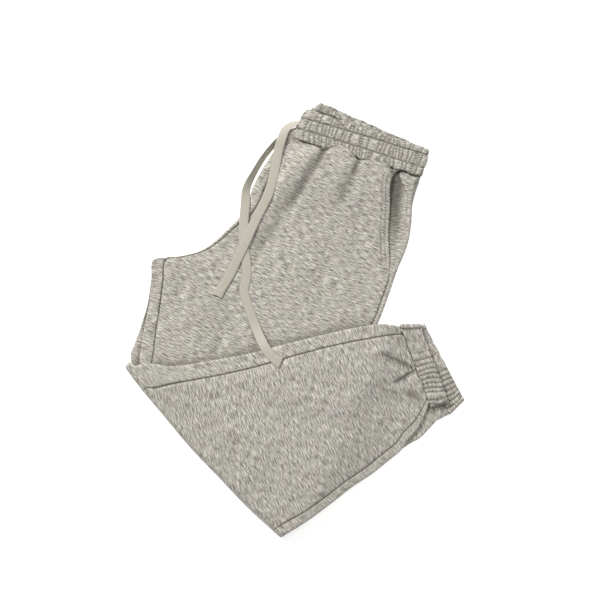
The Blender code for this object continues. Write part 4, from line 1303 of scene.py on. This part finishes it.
def cuff(name, line, lines, node):
    """A flat ring of doubled cloth round a leg's end, open at the hem."""
    radius = CUFF_THICK / 2
    seam_from, seam_to, hem_from, hem_to = (np.array(p, float) for p in line[:4])
    share = np.linspace(0, 1, CUFF_ROWS + 1)[:, None]
    start = seam_from + (hem_from - seam_from) * share
    end = seam_to + (hem_to - seam_to) * share
    width = np.hypot(*(end - start).T)[:, None]
    arc = np.linspace(np.pi / 2, 3 * np.pi / 2, 12)
    run = np.linspace(0, 1, CUFF_RUN + 2)[1:-1]
    across = np.concatenate([radius + radius * np.cos(arc) + 0 * width,
                             radius + (width - 2 * radius) * run,
                             width - radius - radius * np.cos(arc[::-1]),
                             radius + (width - 2 * radius) * run[::-1]], 1)
    rise = np.concatenate([-np.sin(arc), -np.ones(CUFF_RUN),
                           -np.sin(arc[::-1]), np.ones(CUFF_RUN)])
    side = np.concatenate([np.cos(arc), np.zeros(CUFF_RUN),
                           -np.cos(arc[::-1]), np.zeros(CUFF_RUN)])
    where = across / width
    swayed = where + 0.012 * np.sin(share * 4 + 9 * where)
    folds, near = pillows(swayed * CUFF_LONG, np.array(lines) * CUFF_LONG, 0.8)
    tight = smooth((where - 0.3) / 0.12)
    arch = (4 * np.clip(share, 0.02, 0.98) * (1 - np.clip(share, 0.02, 0.98))) ** 0.3
    relief = arch * (0.3 + 1.9 * folds * (0.4 + 0.6 * tight)) - 0.5
    # Painted shade in the valleys between the cuff's pillows, darker where the elastic is tight
    groove = 0.78 * near * (0.25 + 0.75 * tight)
    spot = start[:, None] + (end - start)[:, None] * where[..., None]
    out_across = (end - start) / width
    spot = spot + out_across[:, None] * (side * relief)[..., None]
    lowest = rest(spot[..., 0], spot[..., 1]) + line.height
    z = np.maximum(lowest + radius + rise * (radius + relief), lowest + FLAT_UNDERSIDE)
    points = np.concatenate([spot, z[..., None]], -1)
    steps = np.hypot(np.diff(across[0]), radius * np.diff(rise))
    around = np.concatenate([[0], np.cumsum(steps)])
    flat = np.stack([around + 0 * share, share * CUFF_STRIP + 0 * around], -1)
    points = np.concatenate([points, points[:, :1]], 1)
    flat = np.concatenate([flat, flat[:, -1:] + (1.0, 0.0)], 1)
    groove = np.concatenate([groove, groove[:, :1]], 1)
    piece = cloth(name, [turned_over(points, flat, groove)], wall=CUFF_WALL)
    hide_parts(node)
    return piece


left_cuff = cuff("left_elastic_cuff", LEFT_CUFF, LEFT_VALLEYS, "left_cuff")
right_cuff = cuff("right_elastic_cuff", RIGHT_CUFF, RIGHT_VALLEYS, "right_cuff")

# %% [markdown]
# ## Pockets
# Each pocket has a bag of the same cloth behind its opening. In the left one it shows as
# the facing between the pocket's edge and the side seam, lying under the edge and with
# shade painted on it next to the edge. The right pocket is closed in the pile.

# %% Pocket facings
POCKET_DEPTH = 44.0      # how far in from the leg's edge the facing reaches
POCKET_TUCK = 4.5        # and how far in it starts, under the back's lip
FACING_WALL = 1.0
UNDER_FRONT = 2.7        # the left facing's depth under the top of the leg
RIGHT_FACING = 3.3       # the right facing's height above the table


def facing(level, left_leg):
    """Points of a pocket bag, its inner end hidden in the leg, and the shade painted next to the
    pocket's edge.
    """
    place = even_places(table_points(LEGS), 0.1, CROTCH, 2.5)[:, None]
    edge = width_of(LEGS, place) - read(LEGS, "inset_r", place) * left_leg
    across = edge - POCKET_DEPTH + (POCKET_DEPTH - POCKET_TUCK) * np.linspace(0, 1, 26)
    place = place + 0 * across
    x, y, height = on_legs(place, across, level, 1.0 if left_leg else 0.0,
                           3.0 if left_leg else 0.0)
    if left_leg:
        from_edge = edge - across
        height = height + 1.4 * smooth((22 - from_edge) / 10) * smooth((place - 2) / 1.5)
        height = height + ripple(3 * x, 2 * y)
    # Painted shade on the facing next to the pocket's edge, which shades it; it does not lower
    # the facing
    depth_and_shade = 0.8 * smooth((edge - 8 - across) / 14) * smooth((7.5 - place) / 5)
    return np.stack([x, y, height], -1), np.stack([x + 0.2 * y, y + POCKET_FLAT], -1), depth_and_shade


left_pocket = cloth("left_pocket_facing", [turned_over(*facing(STACK - UNDER_FRONT, True))],
                    wall=FACING_WALL)
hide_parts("left_pocket")
right_pocket = cloth("right_pocket_facing", [turned_over(*facing(RIGHT_FACING, False))],
                     wall=FACING_WALL)
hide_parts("right_pocket")

# %% [markdown]
# ## Topstitching
# Two rows hold the pocket's edge. At this scale a stitch is a small grain of thread in the
# groove that it has pulled. The rows through the elastic are lost between its gathers.

# %% Stitches
STITCH_PITCH = 3.4
STITCH_LONG = 2.5
STITCH_THICK = 0.7
STITCH_LIFT = 0.25       # how far a stitch's middle stands off the cloth


def stitch_row(name, line, pitch, long, thick):
    """A row of small stitches along points in mm."""
    steps = np.linalg.norm(np.diff(line, axis=0), axis=1)
    travelled = np.concatenate([[0], np.cumsum(steps)])
    shape = bmesh.new()
    for here in np.arange(pitch / 2, travelled[-1], pitch):
        spot = Vector([np.interp(here, travelled, line[:, k]) for k in range(3)])
        ahead = Vector([np.interp(here + 1, travelled, line[:, k]) for k in range(3)])
        turn = (ahead - spot).to_track_quat("X", "Z").to_matrix().to_4x4()
        grain = bmesh.ops.create_icosphere(shape, subdivisions=1, radius=1)["verts"]
        bmesh.ops.scale(shape, vec=(long / 2 * MM, thick / 2 * MM, thick / 2 * MM),
                        verts=grain)
        bmesh.ops.transform(shape, matrix=turn, verts=grain)
        bmesh.ops.translate(shape, vec=spot * MM, verts=grain)
    piece = finish_piece(shape, name, thread)


place = even_places(table_points(LEGS), POCKET_FROM + 0.1, POCKET_TO - 0.2, 1.5)
for number, inward in enumerate(POCKET_ROWS):
    edge = left_front_sides(place)[1]
    line = left_front_point(place, edge - inward)[0]
    line[:, 2] += STITCH_LIFT
    stitch_row(f"pocket_topstitch_{number + 1}", line, STITCH_PITCH, STITCH_LONG, STITCH_THICK)

# %% [markdown]
# ## Facts of the cloth
# Each sheet's cloth area is printed beside the size that it was cut to: its largest width
# and length, and its area where it isn't a rectangle.

# %% Sheets
pieces_cut = [
    (left_front, (0.30, 0.62), 0.122),
    (left_back, (0.32, 0.62), 0.138),
    (right_front, (0.31, 1.06), 0.208),
    (right_back, (0.34, 1.06), 0.242),
    (left_shin, (0.30, 0.48), 0.083),
    (waistband, (0.80, 0.052), None),
    (left_cuff, (0.28, 0.035), None),
    (right_cuff, (0.25, 0.03), None),
    (left_pocket, (0.04, 0.18), None),
    (right_pocket, (0.04, 0.18), None),
]
for piece, size, area in pieces_cut:
    whole = piece.evaluated_get(bpy.context.evaluated_depsgraph_get()).to_mesh()
    print(piece.name, "cloth", round(sum(f.area for f in whole.polygons) / 2, 4), "m2,",
          "cut", round(area or size[0] * size[1], 4))
